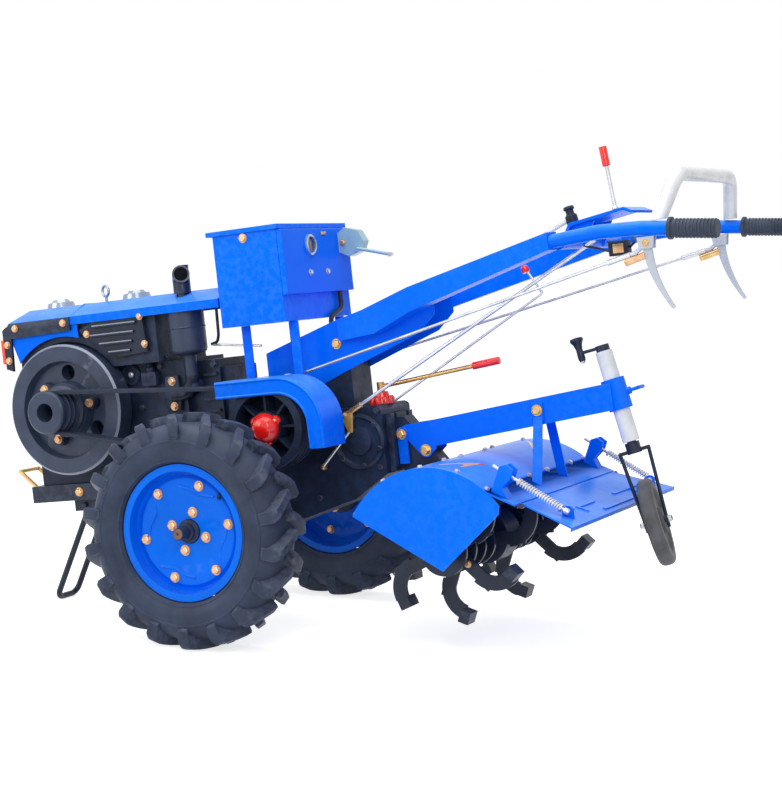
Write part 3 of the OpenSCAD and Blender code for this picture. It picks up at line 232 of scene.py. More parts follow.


# two tones, ends of roughness, broad and fine grain, bump, colour and share of rub (worn edges plus painted edge
# highlight) and dust (settled dust plus painted sky reflection on upward faces)
finishSet = {
    # the blue's pale sky-blue dust tint on upward faces is a painted sky reflection, and its lighter rub colour a
    # painted edge highlight
    "bluePaint": {"tones": ("0072FF", "006AFA"), "rough": (0.18, 0.28), "grain": (4, 420), "bump": 0.02,
                  "rubGlint": ("5CA4FF", 0.3), "dustSheen": ("90D6FF", 0.3), "coat": 0.03, "shine": 0.05},
    "rimPaint": {"tones": ("0070F0", "0064E0"), "rough": (0.22, 0.34), "grain": (6, 420), "bump": 0.03,
                 "rubGlint": ("5CA4FF", 0.3), "dustSheen": ("8FB0E6", 0.05), "coat": 0.06, "shine": 0.08},
    "blackCasting": {"tones": ("263450", "121A2A"), "rough": (0.34, 0.62), "grain": (24, 260), "bump": 0.35,
                     "rubGlint": ("56607A", 0.5), "dustSheen": ("4E5A72", 0.14), "coat": 0.05, "shine": 0.22},
    "blackPaint": {"tones": ("202C44", "121A28"), "rough": (0.26, 0.46), "grain": (14, 380), "bump": 0.08,
                   "rubGlint": ("5A647C", 0.5), "dustSheen": ("4E5A70", 0.12), "coat": 0.08, "shine": 0.25},
    "blackPlastic": {"tones": ("202A3E", "161E2C"), "rough": (0.36, 0.55), "grain": (16, 700), "bump": 0.1,
                     "rubGlint": ("4C566C", 0.3), "dustSheen": ("4C566A", 0.1), "shine": 0.25},
    "beltRubber": {"tones": ("242E42", "1A2232"), "rough": (0.5, 0.75), "grain": (20, 500), "bump": 0.12,
                   "rubGlint": ("4A5266", 0.3), "dustSheen": ("525C70", 0.1), "shine": 0.3},
    "gripRubber": {"tones": ("3A4558", "252D3B"), "rough": (0.45, 0.7), "grain": (20, 650), "bump": 0.14,
                   "rubGlint": ("5A6478", 0.2), "dustSheen": ("66707F", 0.1), "shine": 0.3},
    "tyreRubber": {"tones": ("303C55", "1C2539"), "rough": (0.42, 0.7), "grain": (11, 480), "bump": 0.1,
                   "rubGlint": ("6A7284", 0.45), "dustSheen": ("6C7488", 0.26), "shine": 0.3},
    "tailRubber": {"tones": ("55565A", "3C3D41"), "rough": (0.5, 0.75), "grain": (26, 520), "bump": 0.12,
                   "rubGlint": ("7A7A7C", 0.3), "dustSheen": ("77787C", 0.15)},
    "lampOrange": {"tones": ("FF4A14", "F03A08"), "rough": (0.08, 0.18), "grain": (30, 300), "bump": 0.02,
                   "rubGlint": ("FF8A60", 0.2), "dustSheen": ("FF9C7C", 0.05), "coat": 0.6},
    "redPlastic": {"tones": ("FF1E16", "E81410"), "rough": (0.16, 0.3), "grain": (18, 420), "bump": 0.04,
                   "rubGlint": ("FF7A6E", 0.2), "dustSheen": ("F29088", 0.06), "coat": 0.4},
    "capSteel": {"tones": ("AEBAC8", "8C98A8"), "rough": (0.08, 0.24), "grain": (20, 320), "bump": 0.03,
                 "rubGlint": ("F2F5F8", 0.3), "dustSheen": ("D8DCE0", 0.1), "metal": 0.55},
    "yellowZinc": {"tones": ("D8B86A", "C48E6C"), "rough": (0.2, 0.38), "grain": (40, 420), "bump": 0.04,
                   "rubGlint": ("EFDCAA", 0.3), "dustSheen": ("B8A888", 0.06), "metal": 0.8},
    "copperZinc": {"tones": ("DDB68E", "C08A62"), "rough": (0.22, 0.42), "grain": (120, 600), "bump": 0.05,
                   "rubGlint": ("F6D2B0", 0.4), "dustSheen": ("C8A890", 0.05), "metal": 0.6},
    "bareSteel": {"tones": ("D2D4D6", "B0B2B6"), "rough": (0.2, 0.4), "grain": (34, 520), "bump": 0.05,
                  "rubGlint": ("F2F2F2", 0.3), "dustSheen": ("C0C0BE", 0.08), "metal": 0.7},
    "leverSteel": {"tones": ("C6CCD6", "AEB6C4"), "rough": (0.24, 0.38), "grain": (12, 300), "bump": 0.02,
                   "rubGlint": ("E8ECF2", 0.1), "dustSheen": ("D0D4DC", 0.05), "metal": 0.35},
    "rustSteel": {"tones": ("7A5A4A", "4A3C38"), "rough": (0.4, 0.65), "grain": (120, 600), "bump": 0.1,
                  "rubGlint": ("A08472", 0.4), "dustSheen": ("6A5C54", 0.08), "metal": 0.4},
    "whitePlate": {"tones": ("EDEFF2", "D4D8DE"), "rough": (0.2, 0.36), "grain": (22, 420), "bump": 0.04,
                   "rubGlint": ("FFFFFF", 0.2), "dustSheen": ("D8DADC", 0.08), "coat": 0.2},
    "greyPaint": {"tones": ("9ABECB", "8AAEBC"), "rough": (0.22, 0.38), "grain": (16, 420), "bump": 0.04,
                  "rubGlint": ("C8DCE8", 0.3), "dustSheen": ("C4CCD4", 0.08), "coat": 0.3},
    "tanPlate": {"tones": ("C9A25C", "B08A48"), "rough": (0.3, 0.5), "grain": (40, 420), "bump": 0.06,
                 "rubGlint": ("E2C890", 0.3), "dustSheen": ("A89878", 0.08), "metal": 0.4},
    "yellowStripe": {"tones": ("F4B73C", "E89A2C"), "rough": (0.24, 0.4), "grain": (30, 420), "bump": 0.03,
                     "rubGlint": ("FFD88A", 0.2), "dustSheen": ("F0D8A8", 0.06), "coat": 0.3},
    "redStripe": {"tones": ("F0503C", "DE3C2C"), "rough": (0.24, 0.4), "grain": (30, 420), "bump": 0.03,
                  "rubGlint": ("FF9C8A", 0.2), "dustSheen": ("F0B0A8", 0.06), "coat": 0.3},
    # satin black paint whose lighter tones are a painted reflection of the bright sky
    "satinBlackSheen": {"tones": ("36435C", "273147"), "rough": (0.3, 0.5), "grain": (18, 300), "bump": 0.12,
                   "rubGlint": ("7C869C", 0.5), "dustSheen": ("56627A", 0.12), "coat": 0.12, "shine": 0.3},
    # near-black for the exhaust's open mouth: soot plus painted shade of the hollow pipe
    "sootBlack": {"tones": ("0B0D12", "05070A"), "rough": (0.6, 0.85), "grain": (60, 500), "bump": 0.1,
                  "rubGlint": ("2A2E36", 0.2), "dustSheen": ("20242C", 0.05), "shine": 0.05},
    # pale grey used for painted highlights on lit edges
    "wornEdge": {"tones": ("8E96AA", "6E7688"), "rough": (0.3, 0.5), "grain": (60, 500), "bump": 0.06,
                 "rubGlint": ("B4BAC8", 0.3), "dustSheen": ("8A90A0", 0.08), "coat": 0.1},
    "gaugeFace": {"tones": ("20242C", "2C3440"), "rough": (0.1, 0.22), "grain": (40, 300), "bump": 0.02,
                  "rubGlint": ("586070", 0.2), "dustSheen": ("707880", 0.05), "coat": 0.8},
}


shadeSet = {"breakup": 60, "bumpDepth": 0.0006, "coatRough": 0.06, "shine": 0.5}


def makeFinish(name, look):
    mat = bpy.data.materials.new(name)
    mat.use_nodes = True
    tree = mat.node_tree
    shader = next(n for n in tree.nodes if n.type == "BSDF_PRINCIPLED")

    def place(group, **values):
        node = tree.nodes.new("ShaderNodeGroup")
        node.node_tree = group
        for label, value in values.items():
            node.inputs[label.replace("_", " ")].default_value = value
        return node

    def layer(under, colour, mask):
        node = tree.nodes.new("ShaderNodeMix")
        node.data_type = "RGBA"
        tree.links.new(mask, node.inputs["Factor"])
        feed(tree, node.inputs[6], under)
        feed(tree, node.inputs[7], colour)
        return node.outputs[2]

    (main, other), (scale, fine), (smooth, rough) = look["tones"], look["grain"], look["rough"]
    speckle = place(speckleGroup, Scale=scale, Fine_Scale=fine, Smooth=smooth, Rough=rough)
    colour = layer(tone(main), tone(other), speckle.outputs["Mottle"])
    # rub layer: worn edges plus a painted highlight on convex edges
    rubGlintColour, rubGlintShare = look["rubGlint"]
    rubGlint = place(rubGlintGroup, Breakup=shadeSet["breakup"])
    colour = layer(colour, tone(rubGlintColour), addMath(tree, "MULTIPLY", rubGlint.outputs["Mask"], rubGlintShare))
    # dust layer: settled dust plus a painted sky reflection on upward faces
    dustSheenColour, dustSheenShare = look["dustSheen"]
    dustSheen = place(dustSheenGroup, Amount=dustSheenShare)
    colour = layer(colour, tone(dustSheenColour), dustSheen.outputs["Mask"])
    tree.links.new(colour, shader.inputs["Base Color"])
    tree.links.new(speckle.outputs["Roughness"], shader.inputs["Roughness"])
    bump = tree.nodes.new("ShaderNodeBump")
    bump.inputs["Strength"].default_value = look["bump"]
    bump.inputs["Distance"].default_value = shadeSet["bumpDepth"]
    tree.links.new(speckle.outputs["Height"], bump.inputs["Height"])
    tree.links.new(bump.outputs["Normal"], shader.inputs["Normal"])
    for label, value in (("Metallic", look.get("metal", 0)), ("Specular IOR Level", look.get("shine", shadeSet["shine"])),
                         ("Coat Weight", look.get("coat", 0)), ("Coat Roughness", shadeSet["coatRough"])):
        shader.inputs[label].default_value = value
    return mat


finish = {name: makeFinish(name, look) for name, look in finishSet.items()}
print("finishes made:", len(finish))

bodyOf = {node: body for body, members in frame["record"]["behaviour"]["bodies"].items() for node in members}


def addPiece(name, mesh, body, coat, stands=()):
    if not (mesh.materials and mesh.materials[0]):
        mesh.materials.clear()
        mesh.materials.append(finish[coat])
    piece = bpy.data.objects.new(name, mesh)
    bpy.context.scene.collection.objects.link(piece)
    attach(piece, body)
    if stands:
        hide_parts(*stands)
    return piece


# welding distances in metres, and angles in degrees
meshSet = {"weld": 0.00001, "cadWeld": 0.00002, "flat": 0.8, "crease": 34, "shade": 32, "easedShade": 36}
flanks = (("left", 1), ("right", -1))


def roundShade(mesh, angle):
    mesh.shade_smooth()
    mesh.set_sharp_from_angle(angle=math.radians(angle))
    return mesh


def meshFrom(bm, name, angle=meshSet["shade"], turn=True):
    bmesh.ops.remove_doubles(bm, verts=bm.verts, dist=meshSet["weld"])
    if turn:
        bmesh.ops.recalc_face_normals(bm, faces=bm.faces)
    mesh = bpy.data.meshes.new(name)
    bm.to_mesh(mesh)
    bm.free()
    return roundShade(mesh, angle)


def easeEdges(bm, width):
    crease = math.radians(meshSet["crease"])
    sharp = [e for e in bm.edges if len(e.link_faces) == 2 and e.calc_face_angle(0) > crease]
    bmesh.ops.bevel(bm, geom=sharp, offset=width / 1000, offset_type="OFFSET", segments=2, profile=0.5,
                    affect="EDGES", clamp_overlap=True)


# most pieces keep their solid's shape and get eased edges, in millimetres
edgeSet = {
    "bluePaint": {"engine_hood": 2.2, "side_panels": 1.2, "belt_guard": 1.6, "toolbox": 1.6, "toolbox_legs": 1.2,
                  "toolbox_lid": 1.6, "instrument_panel": 2.4, "handle_frame": 1.8, "handlebars": 4, "shift_panel": 1.4,
                  "tiller_arm": 3, "cover_links": 1.4, "cover_brace": 1.2, "tiller_cover": 1.4, "spring_brackets": 1.4,
                  "apron": 1.2},
    "rimPaint": {"rim_left": 1.4, "rim_right": 1.4},
    "blackCasting": {"engine_block": 4, "gearbox": 4, "axle_housings": 2, "tiller_case": 3,
                     "clutch_pulley": 1, "hub_left": 1.2, "hub_right": 1.2},
    # these parts take the lighter black whose tones are a painted sky reflection
    "satinBlackSheen": {"flywheel": 2, "engine_pulley": 1, "silencer": 1.2},
    "blackPaint": {"chassis_frame": 1.4, "rotor_shaft": 1, "tines": 1, "tail_fork": 0.6, "tail_crank": 0.8, "front_stand": 1},
    "blackPlastic": {"grille_panels": 1, "conduit": 0.6},
    "beltRubber": {"belts": 0.8}, "gripRubber": {"hand_grips": 1}, "lampOrange": {"front_lamps": 2},
    "leverSteel": {"steering_levers": 0.8}, "capSteel": {"hood_fittings": 1.2},
    "yellowZinc": {"tow_ring": 0.6, "tiller_lever": 0.8}, "bareSteel": {"shift_lever": 0.6, "control_rods": 0.8},
    "greyPaint": {"control_box": 2}, "redPlastic": {"lever_knobs": 1.6, "clutch_cap": 1.6},
    "whitePlate": {"hand_hoop": 0.8, "tail_post": 1.2}, "tailRubber": {"tail_wheel": 1.4},
}


def evenNormals(mesh):
    holder = bpy.data.objects.new("evenNormals", mesh)
    bpy.context.scene.collection.objects.link(holder)
    holder.modifiers.new("even", "WEIGHTED_NORMAL").keep_sharp = True
    done = bpy.data.meshes.new_from_object(holder.evaluated_get(bpy.context.evaluated_depsgraph_get()))
    bpy.data.objects.remove(holder)
    return done


def easedMesh(node, width):
    bm = bmesh.new()
    bm.from_mesh(cadNodes[node].data)
    bmesh.ops.remove_doubles(bm, verts=bm.verts, dist=meshSet["cadWeld"])
    bmesh.ops.dissolve_limit(bm, angle_limit=math.radians(meshSet["flat"]), verts=bm.verts, edges=bm.edges, delimit=set())
    easeEdges(bm, width)
    bmesh.ops.triangulate(bm, faces=[f for f in bm.faces if len(f.verts) > 4])
    return evenNormals(meshFrom(bm, node + "Eased", meshSet["easedShade"], turn=False))


def easeNodes():
    for coat, group in edgeSet.items():
        for node, width in group.items():
            mesh = easedMesh(node, width)
            mesh.materials.clear()
            addPiece(node + ".eased", mesh, bodyOf[node], coat, [node])


# geometry trees for what repeats or follows a path
def formTree(name, takes):
    tree = bpy.data.node_groups.new(name, "GeometryNodeTree")
    tree.interface.new_socket("Geometry", in_out="INPUT", socket_type="NodeSocketGeometry")
    for label, kind, value in takes:
        tree.interface.new_socket(label, in_out="INPUT", socket_type="NodeSocket" + kind).default_value = value
    tree.interface.new_socket("Finish", in_out="INPUT", socket_type="NodeSocketMaterial")
    tree.interface.new_socket("Geometry", in_out="OUTPUT", socket_type="NodeSocketGeometry")
    return tree, tree.nodes.new("NodeGroupInput"), tree.nodes.new("NodeGroupOutput")


def wire(tree, source, target):
    tree.links.new(source, target)


def closeTree(tree, given, out, shape):
    real, paint = tree.nodes.new("GeometryNodeRealizeInstances"), tree.nodes.new("GeometryNodeSetMaterial")
    wire(tree, shape, real.inputs["Geometry"])
    wire(tree, real.outputs["Geometry"], paint.inputs["Geometry"])
    wire(tree, given.outputs["Finish"], paint.inputs["Material"])
    wire(tree, paint.outputs["Geometry"], out.inputs["Geometry"])
    return tree


def runTree(tree, mesh, values):
    carrier = bpy.data.objects.new("carrier", mesh)
    bpy.context.scene.collection.objects.link(carrier)
    step = carrier.modifiers.new("build", "NODES")
    step.node_group = tree
    for item in tree.interface.items_tree:
        if item.item_type == "SOCKET" and item.in_out == "INPUT" and item.name in values:
            step[item.identifier] = values[item.name]
    graph = bpy.context.evaluated_depsgraph_get()
    made = bpy.data.meshes.new_from_object(carrier.evaluated_get(graph))
    bpy.data.objects.remove(carrier)
    return made


# washer's sides, and the parts of a head's height and width that its flats and crown take
boltSet = {"washerSides": 18, "flats": 0.8, "crown": 0.2, "crownTop": 0.78}


def boltTree():
    takes = [("Head Radius", "Float", 0.008), ("Head Height", "Float", 0.006), ("Washer Radius", "Float", 0.0098),
             ("Washer Height", "Float", 0.0016)]
    tree, given, out = formTree("hexBolts", takes)
    points = tree.nodes.new("GeometryNodeMeshToPoints")
    wire(tree, given.outputs["Geometry"], points.inputs["Mesh"])
    parts = tree.nodes.new("GeometryNodeJoinGeometry")

    def disc(kind, count, lift, **sizes):
        node = tree.nodes.new(kind)
        node.inputs["Vertices"].default_value = count
        for label, source in sizes.items():
            wire(tree, source, node.inputs[label.replace("_", " ")])
        move = tree.nodes.new("GeometryNodeTransform")
        wire(tree, node.outputs["Mesh"], move.inputs["Geometry"])
        raised = tree.nodes.new("ShaderNodeCombineXYZ")
        wire(tree, lift, raised.inputs["Z"])
        wire(tree, raised.outputs[0], move.inputs["Translation"])
        wire(tree, move.outputs["Geometry"], parts.inputs["Geometry"])

    def named(label, kind):
        node = tree.nodes.new("GeometryNodeInputNamedAttribute")
        node.data_type = kind
        node.inputs["Name"].default_value = label
        return node.outputs["Attribute"]

    def part(source, share):
        return addMath(tree, "MULTIPLY", source, share)

    tall, flat, wide = (given.outputs[label] for label in ("Head Height", "Washer Height", "Head Radius"))
    body = part(tall, boltSet["flats"])
    disc("GeometryNodeMeshCylinder", boltSet["washerSides"], part(flat, 0.5), Radius=given.outputs["Washer Radius"], Depth=flat)
    disc("GeometryNodeMeshCylinder", 6, addMath(tree, "ADD", flat, part(body, 0.5)), Radius=wide, Depth=body)
    disc("GeometryNodeMeshCone", 6, addMath(tree, "ADD", flat, body), Radius_Bottom=wide,
         Radius_Top=part(wide, boltSet["crownTop"]), Depth=part(tall, boltSet["crown"]))
    turn = tree.nodes.new("FunctionNodeAlignRotationToVector")
    turn.axis = "Z"
    wire(tree, named("heading", "FLOAT_VECTOR"), turn.inputs["Vector"])
    put = tree.nodes.new("GeometryNodeInstanceOnPoints")
    wire(tree, points.outputs["Points"], put.inputs["Points"])
    wire(tree, parts.outputs["Geometry"], put.inputs["Instance"])
    wire(tree, turn.outputs["Rotation"], put.inputs["Rotation"])
    wire(tree, named("size", "FLOAT"), put.inputs["Scale"])
    return closeTree(tree, given, out, put.outputs["Instances"])


def sweepAlong(tree, curve, radius, sides):
    ring, sweep = tree.nodes.new("GeometryNodeCurvePrimitiveCircle"), tree.nodes.new("GeometryNodeCurveToMesh")
    feed(tree, ring.inputs["Resolution"], sides)
    wire(tree, radius, ring.inputs["Radius"])
    wire(tree, curve, sweep.inputs["Curve"])
    wire(tree, ring.outputs["Curve"], sweep.inputs["Profile Curve"])
    sweep.inputs["Fill Caps"].default_value = True
    return sweep.outputs["Mesh"]


def barTree():
    takes = [("Radius", "Float", 0.004), ("Bend", "Float", 0.02), ("Steps", "Int", 6), ("Sides", "Int", 14)]
    tree, given, out = formTree("roundBars", takes)
    path, bend = tree.nodes.new("GeometryNodeMeshToCurve"), tree.nodes.new("GeometryNodeFilletCurve")
    bend.mode = "POLY"
    wire(tree, given.outputs["Geometry"], path.inputs["Mesh"])
    wire(tree, path.outputs["Curve"], bend.inputs["Curve"])
    wire(tree, given.outputs["Steps"], bend.inputs["Count"])
    wire(tree, given.outputs["Bend"], bend.inputs["Radius"])
    bend.inputs["Limit Radius"].default_value = True
    tube = sweepAlong(tree, bend.outputs["Curve"], given.outputs["Radius"], given.outputs["Sides"])
    return closeTree(tree, given, out, tube)


coilSet = {"steps": 22, "sides": 8}


def coilTree():
    takes = [("Turns", "Float", 12.0), ("Radius", "Float", 0.01), ("Length", "Float", 0.1), ("Wire", "Float", 0.0015)]
    tree, given, out = formTree("coilSpring", takes)
    spiral = tree.nodes.new("GeometryNodeCurveSpiral")
    spiral.inputs["Resolution"].default_value = coilSet["steps"]
    for source, label in (("Turns", "Rotations"), ("Radius", "Start Radius"), ("Radius", "End Radius"), ("Length", "Height")):
        wire(tree, given.outputs[source], spiral.inputs[label])
    return closeTree(tree, given, out, sweepAlong(tree, spiral.outputs["Curve"], given.outputs["Wire"], coilSet["sides"]))


def ringTree():
    tree, given, out = formTree("roundTheAxle", [("Count", "Int", 18), ("Start", "Float", 0.0)])
    points, index = tree.nodes.new("GeometryNodePoints"), tree.nodes.new("GeometryNodeInputIndex")
    wire(tree, given.outputs["Count"], points.inputs["Count"])
    step = addMath(tree, "DIVIDE", 2 * math.pi, given.outputs["Count"])
    angle = addMath(tree, "ADD", addMath(tree, "MULTIPLY", index.outputs[0], step), given.outputs["Start"])
    spin, turn = tree.nodes.new("ShaderNodeCombineXYZ"), tree.nodes.new("FunctionNodeEulerToRotation")
    wire(tree, angle, spin.inputs["Y"])
    wire(tree, spin.outputs[0], turn.inputs[0])
    put = tree.nodes.new("GeometryNodeInstanceOnPoints")
    wire(tree, points.outputs[0], put.inputs["Points"])
    wire(tree, given.outputs["Geometry"], put.inputs["Instance"])
    wire(tree, turn.outputs[0], put.inputs["Rotation"])
    return closeTree(tree, given, out, put.outputs["Instances"])


bolts, bars, coils, ringOf = boltTree(), barTree(), coilTree(), ringTree()
trimShade = {"bolts": 25, "bars": 40, "coils": 60}


def addBolts(name, body, coat, places):
    mesh = bpy.data.meshes.new("boltPlaces")
    mesh.from_pydata([spot(*p) for p, way, size in places], [], [])
    mesh.attributes.new("heading", "FLOAT_VECTOR", "POINT")
    mesh.attributes.new("size", "FLOAT", "POINT")
    for i, (p, way, size) in enumerate(places):
        mesh.attributes["heading"].data[i].vector = heading(*way)
        mesh.attributes["size"].data[i].value = size
    made = runTree(bolts, mesh, {"Finish": finish[coat]})
    return addPiece(name, roundShade(made, trimShade["bolts"]), body, coat)


def addBars(name, body, coat, paths, diameter, bend=20, sides=14, stands=()):
    points, edges = [], []
    for path in paths:
        first = len(points)
        points += [spot(*p) for p in path]
        edges += [(first + i, first + i + 1) for i in range(len(path) - 1)]
    mesh = bpy.data.meshes.new("barPaths")
    mesh.from_pydata(points, edges, [])
    made = runTree(bars, mesh, {"Radius": diameter / 2000, "Bend": bend / 1000, "Sides": sides, "Finish": finish[coat]})
    return addPiece(name, roundShade(made, trimShade["bars"]), body, coat, stands)


def lathe(rings, steps, centre):
    bm = bmesh.new()
    loops = []
    for k in range(steps):
        a = 2 * math.pi * k / steps
        loops.append([bm.verts.new(Vector((r * math.sin(a), y, r * math.cos(a)))) for r, y in rings])
    count = len(rings)
    for k in range(steps):
        here, there = loops[k], loops[(k + 1) % steps]
        for i in range(count):
            j = (i + 1) % count
            bm.faces.new((here[i], here[j], there[j], there[i]))
    bm.transform(onGround @ Matrix.Translation(centre))
    return bm


# drive tyres: a lathed carcass with swept chevron lugs
tyreSet = {
    "middle": 389, "steps": 144, "carcassShade": 28, "lugShade": 30, "lugs": 18, "slant": 46, "slantCurve": 1.25,
    "lugStart": -7, "lugReach": 75, "lugHalf": 10.5, "lugGrow": 3.5, "treadRadius": 280,
    "wall": [(268, 0), (267.4, 18), (265, 34), (259, 47), (249, 58), (238, 65), (229, 67.5), (228, 69), (224, 69.4),
             (223, 68.4), (212, 69.5), (200, 68.5), (190, 65), (181, 60), (180, 61), (176.5, 59.4), (176, 57.6), (172, 53),
             (170.8, 46), (170, 42), (180, 38), (215, 52), (238, 48), (250, 30), (252, 0)],
    "lugTop": [(-7, 290), (10, 289.8), (28, 289), (44, 287.4), (56, 285), (63, 281), (68, 272), (70.5, 260),
               (71.5, 248), (71, 238)],
    "lugFoot": [(-7, 262), (10, 262), (28, 261), (44, 254), (52, 247), (57, 240), (60, 236), (61, 232),
                (62, 230), (63, 229)],
}


def lugMesh(half):
    bm = bmesh.new()
    rows = []
    for (yt, rt), (yf, rf) in zip(tyreSet["lugTop"], tyreSet["lugFoot"]):
        share = min(1, max(0, (yt - tyreSet["lugStart"]) / tyreSet["lugReach"]))
        shift = -tyreSet["slant"] * share ** tyreSet["slantCurve"]
        wide = tyreSet["lugHalf"] + tyreSet["lugGrow"] * share
        flank = [(wide + 5, yf, rf), (wide + 1.5, yt, rt - 5), (wide - 2, yt, rt)]
        section = [(-across, y, r) for across, y, r in flank] + flank[::-1]
        row = []
        for across, y, r in section:
            a = (across + shift) / tyreSet["treadRadius"]
            row.append(bm.verts.new((r * math.sin(a), half * y, r * math.cos(a))))
        rows.append(row)
    for here, there in zip(rows, rows[1:]):
        for k in range(6):
            bm.faces.new((here[k], here[(k + 1) % 6], there[(k + 1) % 6], there[k]))
    bm.faces.new(rows[0])
    bm.faces.new(list(reversed(rows[-1])))
    return meshFrom(bm, "lug", tyreSet["lugShade"])


def tyreMesh(side):
    wall, centre = tyreSet["wall"], Vector((0, side * tyreSet["middle"], 0))
    ringPoints = wall + [(r, -y) for r, y in reversed(wall[1:-1])]
    parts = [meshFrom(lathe(ringPoints, tyreSet["steps"], centre), "carcass", tyreSet["carcassShade"])]
    for half in (1, -1):
        start = half * math.pi / (2 * tyreSet["lugs"])
        made = runTree(ringOf, lugMesh(half), {"Count": tyreSet["lugs"], "Start": start, "Finish": finish["tyreRubber"]})
        made.transform(onGround @ Matrix.Translation(centre))
        parts.append(made)
    bm = bmesh.new()
    for part in parts:
        bm.from_mesh(part)
    mesh = bpy.data.meshes.new("tyre")
    bm.to_mesh(mesh)
    bm.free()
    return roundShade(mesh, tyreSet["lugShade"])


def addTyres():
    for name, side in flanks:
        addPiece("tyre." + name, tyreMesh(side), "wheel_" + name, "tyreRubber", ["tyre_" + name])


easeNodes()
addTyres()
print("main pieces made")


# small solids, built in machine millimetres
def spun(bm, base, way, profile, steps=28):
    place = onGround @ Matrix.Translation(base) @ Vector((0, 0, 1)).rotation_difference(Vector(way)).to_matrix().to_4x4()
    rings = []
    for r, h in profile:
        count = steps if r else 1
        angles = [2 * math.pi * k / count for k in range(count)]
        rings.append([bm.verts.new(place @ Vector((r * math.cos(a), r * math.sin(a), h))) for a in angles])
    for low, high in zip(rings, rings[1:]):
        for k in range(steps):
            n = k + 1
            corners = (low[k % len(low)], low[n % len(low)], high[n % len(high)], high[k % len(high)])
            corners = list(dict.fromkeys(corners))
            if len(corners) > 2:
                bm.faces.new(corners)


def prism(bm, outline, y0, y1):
    near = [bm.verts.new(spot(x, y0, z)) for x, z in outline]
    far = [bm.verts.new(spot(x, y1, z)) for x, z in outline]
    bm.faces.new(near)
    bm.faces.new(list(reversed(far)))
    for i in range(len(near)):
        j = (i + 1) % len(near)
        bm.faces.new((near[j], near[i], far[i], far[j]))


def brick(bm, a, b):
    prism(bm, [(a[0], a[2]), (b[0], a[2]), (b[0], b[2]), (a[0], b[2])], a[1], b[1])


def addForms(name, body, coat, builds, ease=0):
    bm = bmesh.new()
    for build, *given in builds:
        build(bm, *given)
    bmesh.ops.recalc_face_normals(bm, faces=bm.faces)
    if ease:
        easeEdges(bm, ease)
    return addPiece(name, meshFrom(bm, name, turn=False), body, coat)


# helpers that place trim; bolts are listed as place, heading and size
toLeft, toTop, toRear = (0, 1, 0), (0, 0, 1), (-1, 0, 0)


def heads(points, size=1, way=toLeft):
    return [(p, way, size) for p in points]


def mirrored(places):
    return places + [((x, -y, z), (a, -b, c), size) for (x, y, z), (a, b, c), size in places]


def atY(y, pairs):
    return [(x, y, z) for x, z in pairs]


def aroundAxis(centre, y, radius, degrees):
    cx, cz = centre
    return [(cx + radius * math.cos(math.radians(t)), y, cz + radius * math.sin(math.radians(t))) for t in degrees]


def sideSlabs(outlines, y0, y1):
    return [(prism, outline, side * y0, side * y1) for side in (1, -1) for outline in outlines]


def addSet(trim, body="chassis"):
    for name, (make, coat, *given) in trim.items():
        make(name, body, coat, *given)


# wheel discs: bolts, pressed ridges, valve and bare axle end
wheelSet = {
    "outer": (120, -24, 6, 1.3), "inner": (49, -20, 4, 1.35),
    "dish": {"start": 80, "run": 27, "low": 16, "rise": 10}, "nutFace": {"outer": 18.4, "inner": -2}, "nutShare": 0.92,
    "ridge": [(8, 113), (-20, 105), (-46, 88), (-87, 81)], "ridgeSink": 1.8, "ridgeBar": (9, 26),
    "valve": [(-101, 20, 78), (-101, 30, 78), (-113, 40, 88)], "valveBar": (9, 8),
    "axleFace": 69.6, "axleEnd": [(0, 0), (13.4, 0), (13, 0.9), (4, 0.9), (3, 0.2), (0, 0.2)],
}


def discFace(r):
    dish = wheelSet["dish"]
    return dish["low"] + dish["rise"] * min(1, max(0, (r - dish["start"]) / dish["run"]))


def addWheelTrim(name, side):
    body, mid = "wheel_" + name, tyreSet["middle"]
    outside, inside = [], []
    for key in ("outer", "inner"):
        r, start, count, size = wheelSet[key]
        for k in range(count):
            a = math.radians(start + 360 * k / count)
            x, z = r * math.sin(a), r * math.cos(a)
            outside.append(((x, side * (mid + discFace(r)), z), (0, side, 0), size))
            inside.append(((x, side * (mid + wheelSet["nutFace"][key]), z), (0, -side, 0), size * wheelSet["nutShare"]))
    addBolts("wheelBolts." + name, body, "copperZinc", outside)
    addBolts("wheelNuts." + name, body, "copperZinc", inside)
    paths = []
    for k in range(4):
        a = math.radians(90 * k)
        turned = [(x * math.cos(a) + z * math.sin(a), z * math.cos(a) - x * math.sin(a)) for x, z in wheelSet["ridge"]]
        paths.append([(x, side * (mid + discFace(math.hypot(x, z)) - wheelSet["ridgeSink"]), z) for x, z in turned])
    addBars("wheelRidges." + name, body, "rimPaint", paths, *wheelSet["ridgeBar"])
    valve = [(x, side * (mid + y), z) for x, y, z in wheelSet["valve"]]
    addBars("wheelValve." + name, body, "blackPlastic", [valve], *wheelSet["valveBar"])
    axle = (spun, (0, side * (mid + wheelSet["axleFace"]), 0), (0, side, 0), wheelSet["axleEnd"])
    addForms("axleEnd." + name, body, "rustSteel", [axle])


